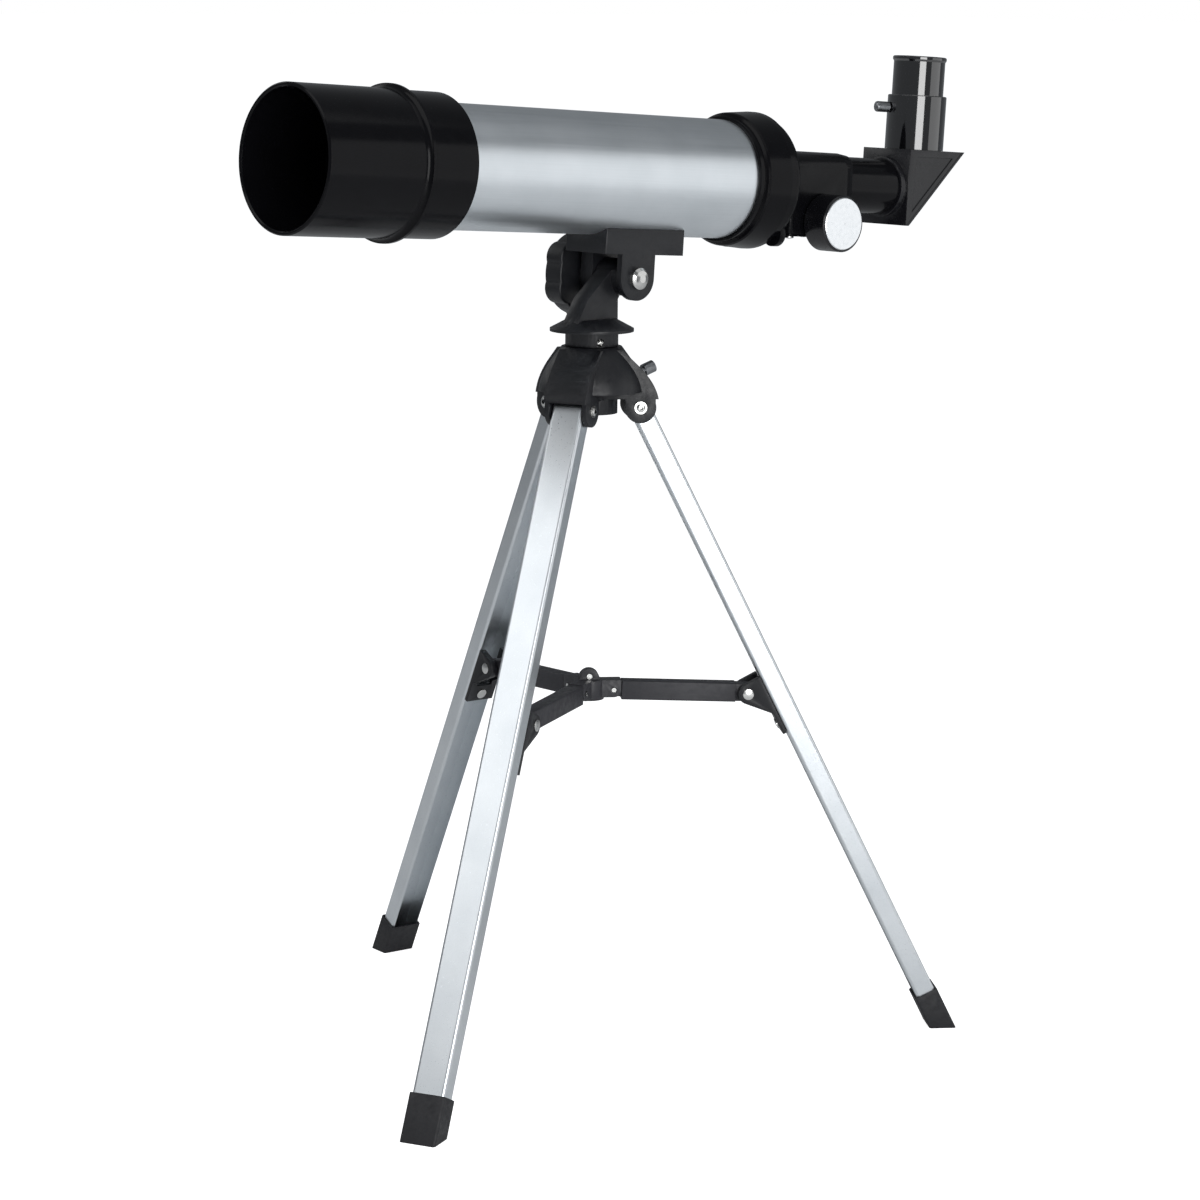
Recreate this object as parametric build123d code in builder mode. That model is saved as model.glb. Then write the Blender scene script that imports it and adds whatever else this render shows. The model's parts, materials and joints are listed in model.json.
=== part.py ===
from build123d import *
from math import atan2, cos, hypot, pi, radians, sin, sqrt, tan
import os

os.makedirs("parts", exist_ok=True)

# A small refracting telescope on a folding table tripod. Millimetres, +Z up.
# The origin is on the floor, under the vertical axis that the telescope pans about.
# The tube points its objective towards -X, and its focus knob is on the -Y side.
# Places on the tube are (behind, above, near): behind the hood's mouth along the tube,
# above the tube's axis, and towards the focus knob.

# ---- fits
running_gap = 0.05      # radial gap of a shaft that turns or slides in its hole
press_gap = 0.02        # radial gap of pieces that are pressed or glued together
face_gap = 0.3          # gap between faces that move past each other
seat_gap = 0.05         # gap between faces that are fastened together

# ---- legs: channels with their open side inwards
splay = 26.47           # angle of an open leg from the vertical
leg_run = 337.7         # from a leg's pivot to the middle of its foot's sole
leg_pivot_radius = 21.9
leg_pivot_height = leg_run * cos(radians(splay))
leg_azimuths = {"a": 203.92, "b": 83.92, "c": -36.08}
leg_width = 15.7
leg_depth = 9.65
leg_wall = 1.0
leg_corner = 1.6
leg_end_margin = 6.0    # channel's end short of the sole
leg_end = leg_run - leg_end_margin
leg_half_width = leg_width / 2
leg_half_depth = leg_depth / 2
foot_side_wall = 0.8
foot_face_wall = 1.0
foot_height = 19.5
foot_corner = 1.2

# ---- rivets
rivet_radius = 1.6
rivet_head_radius = 2.0
rivet_head = 0.9
rivet_bore = 1.0
rivet_bore_depth = 1.5
washer_radius = 2.9
washer_thickness = 0.6

# ---- hub housing
hub_skirt_height = leg_pivot_height + 7.2
hub_top_height = hub_skirt_height + 20.5
hub_collar_radius = 14.0
hub_valley_radius = leg_pivot_radius + 2.7
hub_lobe_radius = leg_pivot_radius + 8.4
hub_lobe_skirt = hub_skirt_height - 3.3
hub_wall = 2.2
ear_gap = 0.35          # between a leg and each of its ears
ear_thickness = 2.2
ear_inner = leg_half_width + ear_gap
ear_outer = ear_inner + ear_thickness
ear_reach = 7.0         # half an ear's width over its round end
ear_drop = 7.3          # ear's round end below the leg pivot
drum_radius = leg_pivot_radius - leg_half_depth - 4.875
drum_bottom = leg_pivot_height - 3.3
spindle_radius = 3.0
spindle_bottom = leg_pivot_height + 1.7
spindle_top = hub_top_height + 3.0
spindle_head = 4.0
spindle_head_radius = 5.0
spindle_washer_radius = 6.5
spindle_washer = 1.2
spindle_pocket_top = spindle_bottom + spindle_head + 2 * seat_gap + spindle_washer
spigot_radius = 9.0
spigot_bottom = hub_top_height - 12.0
lock_azimuth = -12.0
lock_lean = 20.0
lock_base_height = hub_top_height - 18.5
lock_tip_radius = spigot_radius + 2 * running_gap + 3.4
lock_screw_radius = 2.0
lock_head_start = ear_outer + 6.1     # clear of the lobe beside it
lock_head_radius = 2.9
lock_head_length = 5.6

# ---- yoke
neck_radius = 12.3
neck_height = 6.6
neck_bottom = hub_top_height + face_gap
disc_radius = 19.5
disc_rim = 1.4
disc_cone = 4.2
disc_bottom = neck_bottom + neck_height
disc_top = disc_bottom + disc_rim + disc_cone
yoke_thickness = 10.0
yoke_front_foot = 14.0
yoke_rear = 11.6
yoke_waist = 9.5        # height over the disc where the column's front edge bends
yoke_crest_turn = 112.0
barrel_radius = 8.6
neck_screw_azimuth = -113.0
neck_screw_radius = 1.9
neck_screw_depth = 2.5
neck_screw_length = 3.1
neck_screw_height = neck_bottom + 2.2

# ---- tube, from the hood's mouth to the rear
tilt = 3.68             # the tube's nose is this much up
tube_radius = 28.0
tube_wall = 1.0
hood_length = 56.4
hood_radius = tube_radius + 4.5
hood_wall = 2.0
hood_socket = 0.4       # how much wider the hood is inside where the cell plugs in
hood_lip_radius = hood_radius + 2.2
hood_lip_width = 2.2
hood_flare = 5.0
hood_edge = 0.6
spigot_reach = 11.0     # how far the cell plugs into the hood
cell_front = hood_length - spigot_reach
cell_shoulder = hood_length + seat_gap
cell_rear = hood_length + 25.5
cell_radius = tube_radius + 4.2
cell_edge = 0.7
lens_radius = tube_radius - 3.0
lens_front = hood_length + 1.7
crown_edge = 2.0
flint_edge = 4.4
lens_middle = lens_front + crown_edge
lens_rear = lens_middle + flint_edge
front_curve = 216.0
middle_curve = 160.0
rear_curve = 900.0
stop_radius = lens_radius - 1.2
stop_thickness = 3.0
stop_front = lens_rear + seat_gap
keeper_radius = lens_radius + 2.2
keeper_length = 4.0
tube_front = stop_front + stop_thickness + seat_gap
tube_rear = cell_rear + 180.1
ring_front = tube_rear - 5.9
ring_lip_radius = tube_radius + 1.7
ring_lip_width = 3.2
ring_body_radius = tube_radius + 3.5
ring_radius = tube_radius + 4.5
ring_widest = ring_front + 18.2
ring_rear = ring_front + 21.9
ring_back_wall = 3.0
ring_edge = 0.5
ring_screw_radius = 2.3
ring_screw_height = 2.6
ring_screw_seat_depth = 1.4
ring_screw_round = 0.6
ring_screw_angles = (0, 120)
ring_screw_behind = (ring_front + ring_lip_width + ring_widest) / 2 - 2.0
baffle_places = {"front_baffle": (tube_rear - 122.0, tube_radius - 8.0),
                 "rear_baffle": (tube_rear - 70.0, tube_radius - 11.0)}
baffle_thickness = 0.8
baffle_rim = 6.0

# ---- eyepiece's standard barrel, and the drawtube and focuser around it
eyepiece_barrel_radius = 12.25
barrel_wall = 1.1
drawtube_bore = eyepiece_barrel_radius + 0.1
drawtube_radius = drawtube_bore + 1.25
drawtube_front = ring_rear + 8.0
drawtube_rear = ring_rear + 90.6
flange_radius = ring_radius - 2.0
flange_thickness = 3.4
flange_front = ring_rear + seat_gap
flange_rear = flange_front + flange_thickness
flange_screw_radius = 1.3
flange_screw_head = 2.4
flange_screw_head_height = 1.5
lobe_centre = ring_radius - 3.0
lobe_radius = 6.2
lobe_angle = 35.0       # the two lower lobes, from straight down
focuser_rear = ring_rear + 56.0
focuser_half_width = drawtube_radius + 1.4
focuser_top = drawtube_radius + 1.5
focuser_bottom = drawtube_radius + 4.9
focuser_corner = 7.0
focuser_taper = 6.0
focuser_taper_angle = 8.0
pinion_behind = ring_rear + 36.0
pinion_below = drawtube_radius + 4.6
pinion_shaft_radius = 2.0
pinion_teeth = 10
pinion_module = 0.6
pinion_width = 6.0
pitch_radius = pinion_module * pinion_teeth / 2
pressure_angle = radians(20)
tooth_clearance = 0.12
backlash = 0.16
rack_front = ring_rear + 21.0
rack_rear = ring_rear + 71.0
rack_width = 5.0
rack_addendum = pinion_teeth / 2 * sin(pressure_angle) ** 2 * pinion_module
pinion_addendum = 0.9 * pinion_module
pinion_tip = pitch_radius + pinion_addendum
rack_pitch_line = -(pinion_below - pitch_radius)
rack_seat = -(drawtube_radius + seat_gap)
ring_opening = hypot(rack_pitch_line - rack_addendum, rack_width / 2) + face_gap
shaft_far_wall = 3.0    # what is left of the far wall behind the shaft's blind hole
housing_front = pinion_behind - 22.0
housing_rear = pinion_behind + 18.0
housing_bottom = pinion_below + 5.8
housing_corner = 2.0
cover_thickness = 1.4
cover_screw_radius = 1.1
cover_screw_grip = 3.0
cover_screw_head_height = 1.2
cover_screw_inset = 4.0
knob_radius = 13.6
knob_face = focuser_half_width + 14.6
knob_thickness = 14.2
knob_edge = 0.8
knob_disc_radius = knob_radius - 1.0
knob_disc = 1.6
knob_disc_dome = 0.5
knob_web = 1.4

# ---- diagonal and eyepiece
diagonal_collar_radius = drawtube_radius + 1.2
diagonal_collar = 3.6
diagonal_front = drawtube_rear + face_gap + diagonal_collar
diagonal_top = diagonal_collar_radius + 4.2
diagonal_bottom = diagonal_collar_radius + 3.7
diagonal_half_width = diagonal_collar_radius + 1.2
diagonal_wall = 1.8
diagonal_toe = 2.4
diagonal_barrel_length = 20.0
cover_plate = 1.5
mirror_thickness = 2.0
mirror_inset = 7.0
panel_border = 3.6
panel_depth = 0.5
slant_length = (diagonal_top + diagonal_bottom) * sqrt(2)
cover_depth = cover_plate + seat_gap
eye_behind = diagonal_front + diagonal_toe + diagonal_bottom - cover_plate
sleeve_radius = eyepiece_barrel_radius + 2.35
sleeve_spigot_radius = sleeve_radius - 1.0
sleeve_top = diagonal_top + 26.8
sleeve_edge = 0.4
eyepiece_radius = eyepiece_barrel_radius + 0.55
eyepiece_rim_radius = eyepiece_radius + 0.6
eyepiece_rim = 1.6
eyepiece_top = sleeve_top + 19.2
eyepiece_insert = 20.0
eyepiece_socket = 4.0   # how far the barrel goes into the eyepiece's body
eye_dish = 2.6
eye_lens_radius = eyepiece_barrel_radius - 4.25
eye_lens_front_curve = 5.0 * eye_lens_radius
eye_lens_rear_curve = 3.75 * eye_lens_radius
field_lens_front_curve = 2.75 * eyepiece_barrel_radius
field_lens_rear_curve = 900.0
eyepiece_lens_edge = 0.3    # thickness of both of its lenses at their edges
set_screw_above = sleeve_top - 6.5
set_screw_clock = 25.0
set_screw_radius = 1.5
set_screw_head_radius = 2.65
set_screw_head_length = 7.2
set_screw_round = 1.4

# ---- saddle and altitude joint
pivot_behind = tube_rear - 66.5
saddle_front = pivot_behind - 21.0
saddle_rear = pivot_behind + 28.6
saddle_half_width = 14.0
saddle_bottom = tube_radius + 8.1
saddle_top = tube_radius * 0.7
saddle_corner = 1.2
saddle_screw_places = (saddle_front + 6.5, saddle_rear - 8.1)
saddle_screw_radius = 1.5
saddle_screw_head_radius = 2.8
saddle_screw_head = 1.8
pivot_below = saddle_bottom + 10.9
ear_radius = 10.3
near_ear_thickness = 3.3
far_ear_inner = 6.2
barrel_half_far = far_ear_inner - face_gap
barrel_half_near = saddle_half_width - near_ear_thickness - face_gap
bolt_radius = 3.0
bolt_head_radius = 5.0
bolt_head_height = 3.6
clamp_radius = 21.5
clamp_scallop = 1.8    # depth of the hollows between its lobes
clamp_face = saddle_half_width + 14.6
clamp_depth = 11.0
clamp_lobes = 6
clamp_petal = 7.4
clamp_boss_radius = 8.0
clamp_cap = 2.0         # knob's solid end over the bolt
clamp_round = 1.0
pivot_height = hub_top_height + 31.2
pivot_offset = 18.6     # how far the tube's pivot is behind the pan axis, along the tube
front_reach = pivot_behind - pivot_offset
tube_height = pivot_height + pivot_offset * sin(radians(tilt)) + pivot_below * cos(radians(tilt))

# ---- leg brackets and spreader
bracket_run = 145.9     # from a leg's pivot to its bracket, along the leg
bracket_proud = 8.5     # bracket pivot's height over the channel's mouth
bracket_width = leg_width - 0.7
bracket_plate = 2.0
bracket_below = 25.0    # plate's end below the bracket pivot
bracket_above = 5.0
bracket_knuckle = 4.8
bracket_heel_turn = -48.0
bracket_slot_run = 16.0
bracket_rivet_run = 20.5
bracket_rivet_head = 0.9
bracket_pin_head_radius = 2.4
pin_stub_radius = 1.4
spreader_pivot_radius = 11.5
spreader_rise = 2.0     # angle of an arm when the legs are open
arm_height = 9.1
arm_width = 8.0
arm_wall = 1.6
arm_corner = 0.7
arm_tip_width = arm_width - 0.6
arm_root_width = arm_width - 4.0
arm_tip_radius = 4.4
arm_root_radius = 3.4
arm_end_gap = 3.8       # from a spreader pivot to the arm's square end
arm_half_height = arm_height / 2
arm_half_width = arm_width / 2
root_half_gap = arm_root_width / 2 + face_gap
slot_half = arm_half_width + face_gap
knuckle_in = leg_half_depth + bracket_proud
bracket_radius = (leg_pivot_radius + bracket_run * sin(radians(splay))
                  - knuckle_in * cos(radians(splay)))
bracket_height = (leg_pivot_height - bracket_run * cos(radians(splay))
                  - knuckle_in * sin(radians(splay)))
spreader_height = bracket_height + (bracket_radius - spreader_pivot_radius) * tan(radians(spreader_rise))
arm_length = (bracket_radius - spreader_pivot_radius) / cos(radians(spreader_rise))
stub_reach = 3.5
stub_top = arm_half_height + 0.25
hub_roof = 1.1
spreader_pin_radius = 1.2
spreader_pin_proud = 0.3
knuckle_azimuth = leg_azimuths["c"]
knuckle_radius = 4.8
knuckle_thickness = 4.2
knuckle_rise = 5.2
rivet_rise = 6.3
hub_rivet_radius = 0.8
hub_rivet_head_radius = 1.3
hub_rivet_head = 0.7

# ---- frames that the pieces are drawn in
nose_back = Vector(cos(radians(tilt)), 0, -sin(radians(tilt)))
tube_up = Vector(sin(radians(tilt)), 0, cos(radians(tilt)))
near_side = Vector(0, -1, 0)
mouth_centre = Vector(0, 0, tube_height) - nose_back * front_reach
tube_axis = Axis(mouth_centre, nose_back)
tube_side = Plane(mouth_centre, x_dir=nose_back, z_dir=near_side)


def tube_point(behind, above, near=0.0):
    return mouth_centre + nose_back * behind + tube_up * above + near_side * near


def across(behind):
    """Square to the tube: x towards the far side, y up, normal to the rear."""
    return Plane(tube_point(behind, 0), x_dir=(0, 1, 0), z_dir=nose_back)


def deck(above, behind=0.0):
    """Along the tube and level with it: x to the rear, y to the far side, normal up."""
    return Plane(tube_point(behind, above), x_dir=nose_back, z_dir=tube_up)


def finish(piece, name):
    piece.part.label = name
    export_step(piece.part, f"parts/{name}.step")


def ring_of(plane, axis, outline):
    """A turned piece from its half outline."""
    with BuildPart() as piece:
        with BuildSketch(plane):
            with BuildLine():
                Polyline(*outline, close=True)
            make_face()
        revolve(axis=axis)
    return piece


def turned(outline):
    return ring_of(tube_side, tube_axis, outline)


def sag(curve, height):
    return curve - sqrt(curve**2 - height**2)


# ================================================================ optical tube
def dew_hood():
    inner = hood_radius - hood_wall
    socket = inner + hood_socket
    step = cell_front - 1.0
    edge = hood_edge
    with BuildPart() as piece:
        with BuildSketch(tube_side):
            with BuildLine():
                Polyline((hood_length - hood_flare, hood_radius), (edge, hood_radius),
                         (0, hood_radius - edge), (0, inner + edge), (edge, inner),
                         (step, inner), (step, socket), (hood_length, socket),
                         (hood_length, hood_lip_radius - edge),
                         (hood_length - edge, hood_lip_radius),
                         (hood_length - hood_lip_width, hood_lip_radius))
                TangentArc((hood_length - hood_flare, hood_radius),
                           (hood_length - hood_lip_width, hood_lip_radius), tangent=(1, 0))
            make_face()
        revolve(axis=tube_axis)
    finish(piece, "dew_hood")


def objective_cell():
    plug = hood_radius - hood_wall + hood_socket - running_gap
    keeper_bore = keeper_radius + press_gap
    lens_bore = lens_radius + press_gap
    lens_seat = lens_front - seat_gap
    tube_seat = stop_front + stop_thickness
    edge = cell_edge
    piece = turned([
        (cell_front, keeper_bore), (cell_front, plug - edge), (cell_front + edge, plug),
        (cell_shoulder, plug), (cell_shoulder, cell_radius - edge),
        (cell_shoulder + edge, cell_radius), (cell_rear - edge, cell_radius),
        (cell_rear, cell_radius - edge), (cell_rear, tube_radius + press_gap),
        (tube_seat, tube_radius + press_gap), (tube_seat, stop_radius),
        (stop_front, stop_radius), (stop_front, lens_bore), (lens_seat, lens_bore),
        (lens_seat, keeper_bore)])
    finish(piece, "objective_cell")


def lens_keeper():
    swell = sag(front_curve, lens_radius) - sag(front_curve, stop_radius + 0.4)
    rear = lens_front - seat_gap - swell
    front = rear - keeper_length
    piece = turned([(front, keeper_radius), (rear, keeper_radius), (rear, stop_radius + 0.4),
                    (front + 1.2, stop_radius + 0.4), (front, stop_radius + 1.8)])
    finish(piece, "lens_keeper")


def lens(name, front_vertex, front_radius, rear_vertex, rear_radius, height, frame, axis):
    """A lens from its two vertices: positive radii bulge forwards, negative to the rear."""
    def bend(vertex, radius, h):
        depth = sag(abs(radius), h)
        return vertex + depth if radius > 0 else vertex - depth

    with BuildPart() as piece:
        with BuildSketch(frame):
            with BuildLine():
                ThreePointArc((front_vertex, 0), (bend(front_vertex, front_radius, height / 2), height / 2),
                              (bend(front_vertex, front_radius, height), height))
                Line((bend(front_vertex, front_radius, height), height),
                     (bend(rear_vertex, rear_radius, height), height))
                ThreePointArc((bend(rear_vertex, rear_radius, height), height),
                              (bend(rear_vertex, rear_radius, height / 2), height / 2), (rear_vertex, 0))
                Line((rear_vertex, 0), (front_vertex, 0))
            make_face()
        revolve(axis=axis)
    finish(piece, name)


def objective():
    front_vertex = lens_front - sag(front_curve, lens_radius)
    middle_vertex = lens_middle + sag(middle_curve, lens_radius)
    rear_vertex = lens_rear - sag(rear_curve, lens_radius)
    lens("crown_lens", front_vertex, front_curve, middle_vertex, -middle_curve,
         lens_radius, tube_side, tube_axis)
    lens("flint_lens", middle_vertex + seat_gap, -middle_curve, rear_vertex, rear_curve,
         lens_radius, tube_side, tube_axis)


def optical_tube():
    inner = tube_radius - tube_wall
    with BuildPart() as piece:
        with BuildSketch(tube_side):
            with BuildLine():
                Polyline((tube_front, inner), (tube_front, tube_radius),
                         (tube_rear, tube_radius), (tube_rear, inner), close=True)
            make_face()
        revolve(axis=tube_axis)
        with BuildSketch(deck(-tube_radius - 1.0)):
            with Locations(*[(place, 0) for place in saddle_screw_places]):
                Circle(saddle_screw_radius + press_gap)
        extrude(amount=tube_radius, mode=Mode.SUBTRACT)
    finish(piece, "optical_tube")


def baffles():
    outer = tube_radius - tube_wall - press_gap
    for name, (place, opening) in baffle_places.items():
        piece = turned([
            (place, opening), (place + baffle_thickness, opening),
            (place + baffle_thickness, outer - baffle_thickness),
            (place + baffle_rim, outer - baffle_thickness), (place + baffle_rim, outer),
            (place, outer)])
        finish(piece, name)


def rear_ring():
    lip_end = ring_front + ring_lip_width
    back = ring_rear - ring_back_wall
    seat = tube_rear + seat_gap
    edge = ring_edge
    with BuildPart() as piece:
        with BuildSketch(tube_side):
            with BuildLine():
                Polyline(
                    (ring_front, tube_radius + press_gap), (ring_front, ring_lip_radius - edge),
                    (ring_front + edge, ring_lip_radius), (lip_end, ring_lip_radius),
                    (lip_end + 0.8, ring_body_radius - 0.5), (lip_end + 1.8, ring_body_radius),
                    (ring_widest, ring_radius), (ring_rear - edge, ring_radius),
                    (ring_rear, ring_radius - edge), (ring_rear, ring_opening),
                    (back, ring_opening), (back, tube_radius - 0.5),
                    (seat, tube_radius - 0.5), (seat, tube_radius + press_gap), close=True)
            make_face()
        revolve(axis=tube_axis)
        with Locations(*[ring_screw_seat(angle) for angle in ring_screw_angles]):
            Cylinder(ring_screw_radius + press_gap, 2 * ring_radius,
                     align=(Align.CENTER, Align.CENTER, Align.MIN), mode=Mode.SUBTRACT)
    finish(piece, "rear_ring")


def ring_screw_seat(angle):
    """Where a screw's head sits, its normal pointing out: 0 is straight down."""
    turn = radians(angle)
    outward = -tube_up * cos(turn) - near_side * sin(turn)
    middle = tube_point(ring_screw_behind, 0)
    seat = middle + outward * (tube_radius + ring_screw_seat_depth)
    return Plane(seat, x_dir=nose_back, z_dir=outward).location


def ring_screws():
    with BuildPart() as piece:
        with Locations(*[ring_screw_seat(angle) for angle in ring_screw_angles]):
            Cylinder(ring_screw_radius, ring_screw_height, align=(Align.CENTER, Align.CENTER, Align.MIN))
        fillet(piece.edges().filter_by(GeomType.CIRCLE).group_by(
            lambda edge: round(tube_axis_distance(edge.center()), 2))[-1], ring_screw_round)
    finish(piece, "ring_screws")


def tube_axis_distance(point):
    offset = point - mouth_centre
    return (offset - nose_back * offset.dot(nose_back)).length


# ================================================================ focuser
pinion_point = tube_point(pinion_behind, -pinion_below)
pinion_axis = Axis(pinion_point, near_side)
pinion_turning = Plane(pinion_point, x_dir=near_side, z_dir=-nose_back)


def lobe_spots():
    for side in (-1, 1):
        turn = radians(lobe_angle) * side
        yield lobe_centre * sin(turn), -lobe_centre * cos(turn)


def focuser_body():
    height = focuser_top + focuser_bottom
    rack_room = rack_width / 2 + face_gap
    rack_low = rack_pitch_line - rack_addendum - face_gap
    pinion_room = pinion_width / 2 + face_gap
    far_bore = focuser_half_width - shaft_far_wall
    with BuildPart() as piece:
        with BuildSketch(across(flange_front)):
            Circle(flange_radius)
            with Locations(*lobe_spots()):
                Circle(lobe_radius)
        extrude(amount=flange_thickness)
        with BuildSketch(across(flange_rear)):
            with Locations((0, (focuser_top - focuser_bottom) / 2)):
                RectangleRounded(2 * focuser_half_width, height, focuser_corner)
        extrude(amount=focuser_rear - focuser_taper - flange_rear)
        with BuildSketch(across(focuser_rear - focuser_taper)):
            with Locations((0, (focuser_top - focuser_bottom) / 2)):
                RectangleRounded(2 * focuser_half_width, height, focuser_corner)
        extrude(amount=focuser_taper, taper=focuser_taper_angle)
        with BuildSketch(deck(-housing_bottom, housing_front)):
            with Locations(((housing_rear - housing_front) / 2, 0)):
                RectangleRounded(housing_rear - housing_front, 2 * focuser_half_width, housing_corner)
        extrude(amount=housing_bottom - focuser_bottom + focuser_corner)
        with BuildSketch(across(flange_front)):
            Circle(drawtube_radius + running_gap)
            with Locations((0, rack_low / 2)):
                Rectangle(2 * rack_room, -rack_low)
        extrude(amount=focuser_rear, mode=Mode.SUBTRACT)
        with BuildSketch(tube_side.offset(-pinion_room)):
            with Locations((pinion_behind, -pinion_below)):
                Circle(pinion_tip + face_gap)
            with Locations((pinion_behind, -(pinion_below + housing_bottom) / 2)):
                Rectangle(2 * (pinion_tip + face_gap), housing_bottom - pinion_below)
        extrude(amount=2 * pinion_room, mode=Mode.SUBTRACT)
        with BuildSketch(tube_side.offset(-far_bore)):
            with Locations((pinion_behind, -pinion_below)):
                Circle(pinion_shaft_radius + running_gap)
        extrude(amount=far_bore + 2 * focuser_half_width, mode=Mode.SUBTRACT)
        with BuildSketch(deck(-housing_bottom)):
            with Locations(*cover_screw_spots()):
                Circle(cover_screw_radius + press_gap)
        extrude(amount=cover_screw_grip, mode=Mode.SUBTRACT)
        with BuildSketch(across(flange_front)):
            with Locations(*lobe_spots()):
                Circle(flange_screw_radius + press_gap)
        extrude(amount=flange_thickness, mode=Mode.SUBTRACT)
    finish(piece, "focuser_body")


def cover_screw_spots():
    for behind in (housing_front + cover_screw_inset, housing_rear - cover_screw_inset):
        for aside in (-1, 1):
            yield behind, aside * (focuser_half_width - cover_screw_inset)


def pinion_cover():
    with BuildPart() as piece:
        with BuildSketch(deck(-housing_bottom - seat_gap, housing_front)):
            with Locations(((housing_rear - housing_front) / 2, 0)):
                RectangleRounded(housing_rear - housing_front, 2 * focuser_half_width, housing_corner)
        extrude(amount=-cover_thickness)
        with BuildSketch(deck(-housing_bottom)):
            with Locations(*cover_screw_spots()):
                Circle(cover_screw_radius + press_gap)
        extrude(amount=-2 * cover_thickness, mode=Mode.SUBTRACT)
    finish(piece, "pinion_cover")


def cover_screws():
    under = -housing_bottom - 2 * seat_gap - cover_thickness
    with BuildPart() as piece:
        with BuildSketch(deck(under)):
            with Locations(*cover_screw_spots()):
                Circle(cover_screw_radius)
        extrude(amount=cover_thickness + cover_screw_grip)
        with BuildSketch(deck(under)):
            with Locations(*cover_screw_spots()):
                Circle(2 * cover_screw_radius)
        extrude(amount=-cover_screw_head_height)
    finish(piece, "cover_screws")


def flange_screws():
    with BuildPart() as piece:
        with BuildSketch(across(flange_front)):
            with Locations(*lobe_spots()):
                Circle(flange_screw_radius)
        extrude(amount=flange_thickness + seat_gap)
        with BuildSketch(across(flange_rear + seat_gap)):
            with Locations(*lobe_spots()):
                Circle(flange_screw_head)
        extrude(amount=flange_screw_head_height)
    finish(piece, "flange_screws")


def drawtube():
    piece = turned([(drawtube_front, drawtube_bore), (drawtube_front, drawtube_radius),
                    (drawtube_rear, drawtube_radius), (drawtube_rear, drawtube_bore)])
    finish(piece, "drawtube")


def rack():
    pitch = pi * pinion_module
    root = rack_pitch_line + pinion_addendum + tooth_clearance
    tip = rack_pitch_line - rack_addendum
    half_pitch_width = (pitch - backlash) / 4
    half_root = half_pitch_width + (root - rack_pitch_line) * tan(pressure_angle)
    half_tip = half_pitch_width - (rack_pitch_line - tip) * tan(pressure_angle)
    first = int((rack_front - pinion_behind) / pitch) + 1.5
    last = int((rack_rear - pinion_behind) / pitch) - 0.5
    outline = [(rack_front, rack_seat), (rack_front, root)]
    count = int(last - first) + 1
    for index in range(count):
        middle = pinion_behind + (first + index) * pitch
        outline += [(middle - half_root, root), (middle - half_tip, tip),
                    (middle + half_tip, tip), (middle + half_root, root)]
    outline += [(rack_rear, root), (rack_rear, rack_seat)]
    with BuildPart() as piece:
        with BuildSketch(tube_side):
            with BuildLine():
                Polyline(*outline, close=True)
            make_face()
        extrude(amount=rack_width / 2, both=True)
    finish(piece, "focus_rack")


def involute(angle):
    return tan(angle) - angle


def pinion_outline():
    base = pitch_radius * cos(pressure_angle)
    root = pitch_radius - rack_addendum - tooth_clearance
    steps = 4
    radii = [base + (pinion_tip - base) * step / steps for step in range(steps + 1)]
    tooth_half = (pi * pinion_module - backlash) / 4 / pitch_radius
    outline = []
    for tooth in range(pinion_teeth):
        middle = pi / 2 + 2 * pi * tooth / pinion_teeth
        flank = []
        for radius in radii:
            roll = atan2(sqrt(max(radius**2 - base**2, 0)), base)
            flank.append((radius, tooth_half + involute(pressure_angle) - involute(roll)))
        flank.insert(0, (root, flank[0][1]))
        outline += [(r * cos(middle - swing), r * sin(middle - swing)) for r, swing in flank]
        outline += [(r * cos(middle + swing), r * sin(middle + swing)) for r, swing in reversed(flank)]
    return [(pinion_behind + x, y - pinion_below) for x, y in outline]


def pinion_shaft():
    far_end = focuser_half_width - shaft_far_wall - 0.5
    with BuildPart() as piece:
        with BuildSketch(tube_side):
            with BuildLine():
                Polyline(*pinion_outline(), close=True)
            make_face()
        extrude(amount=pinion_width / 2, both=True)
        with BuildSketch(tube_side.offset(-far_end)):
            with Locations((pinion_behind, -pinion_below)):
                Circle(pinion_shaft_radius)
        extrude(amount=far_end + knob_face - knob_disc - knob_web - 0.1)
    finish(piece, "pinion_shaft")


def focus_knob():
    inner = knob_face - knob_thickness
    bore = pinion_shaft_radius + press_gap
    blind = knob_face - knob_disc - knob_web
    recess = knob_face - knob_disc - seat_gap
    edge = knob_edge
    piece = ring_of(pinion_turning, pinion_axis, [
        (inner, bore), (inner, knob_radius - edge), (inner + edge, knob_radius),
        (knob_face - edge, knob_radius), (knob_face, knob_radius - edge),
        (knob_face, knob_disc_radius + press_gap), (recess, knob_disc_radius + press_gap),
        (recess, 0), (blind, 0), (blind, bore)])
    finish(piece, "focus_knob")


def knob_disc_piece():
    back = knob_face - knob_disc
    piece = ring_of(pinion_turning, pinion_axis, [
        (back, 0), (back, knob_disc_radius), (knob_face - 0.2, knob_disc_radius),
        (knob_face + 0.1, knob_disc_radius - 0.5), (knob_face + knob_disc_dome, 0)])
    finish(piece, "knob_disc")


# ================================================================ diagonal
def slant(along, depth):
    """A point of the slanted back: along it from the bottom corner, and in from its outer face."""
    return (diagonal_front + diagonal_toe + (along - depth) / sqrt(2),
            -diagonal_bottom + (along + depth) / sqrt(2))


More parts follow.
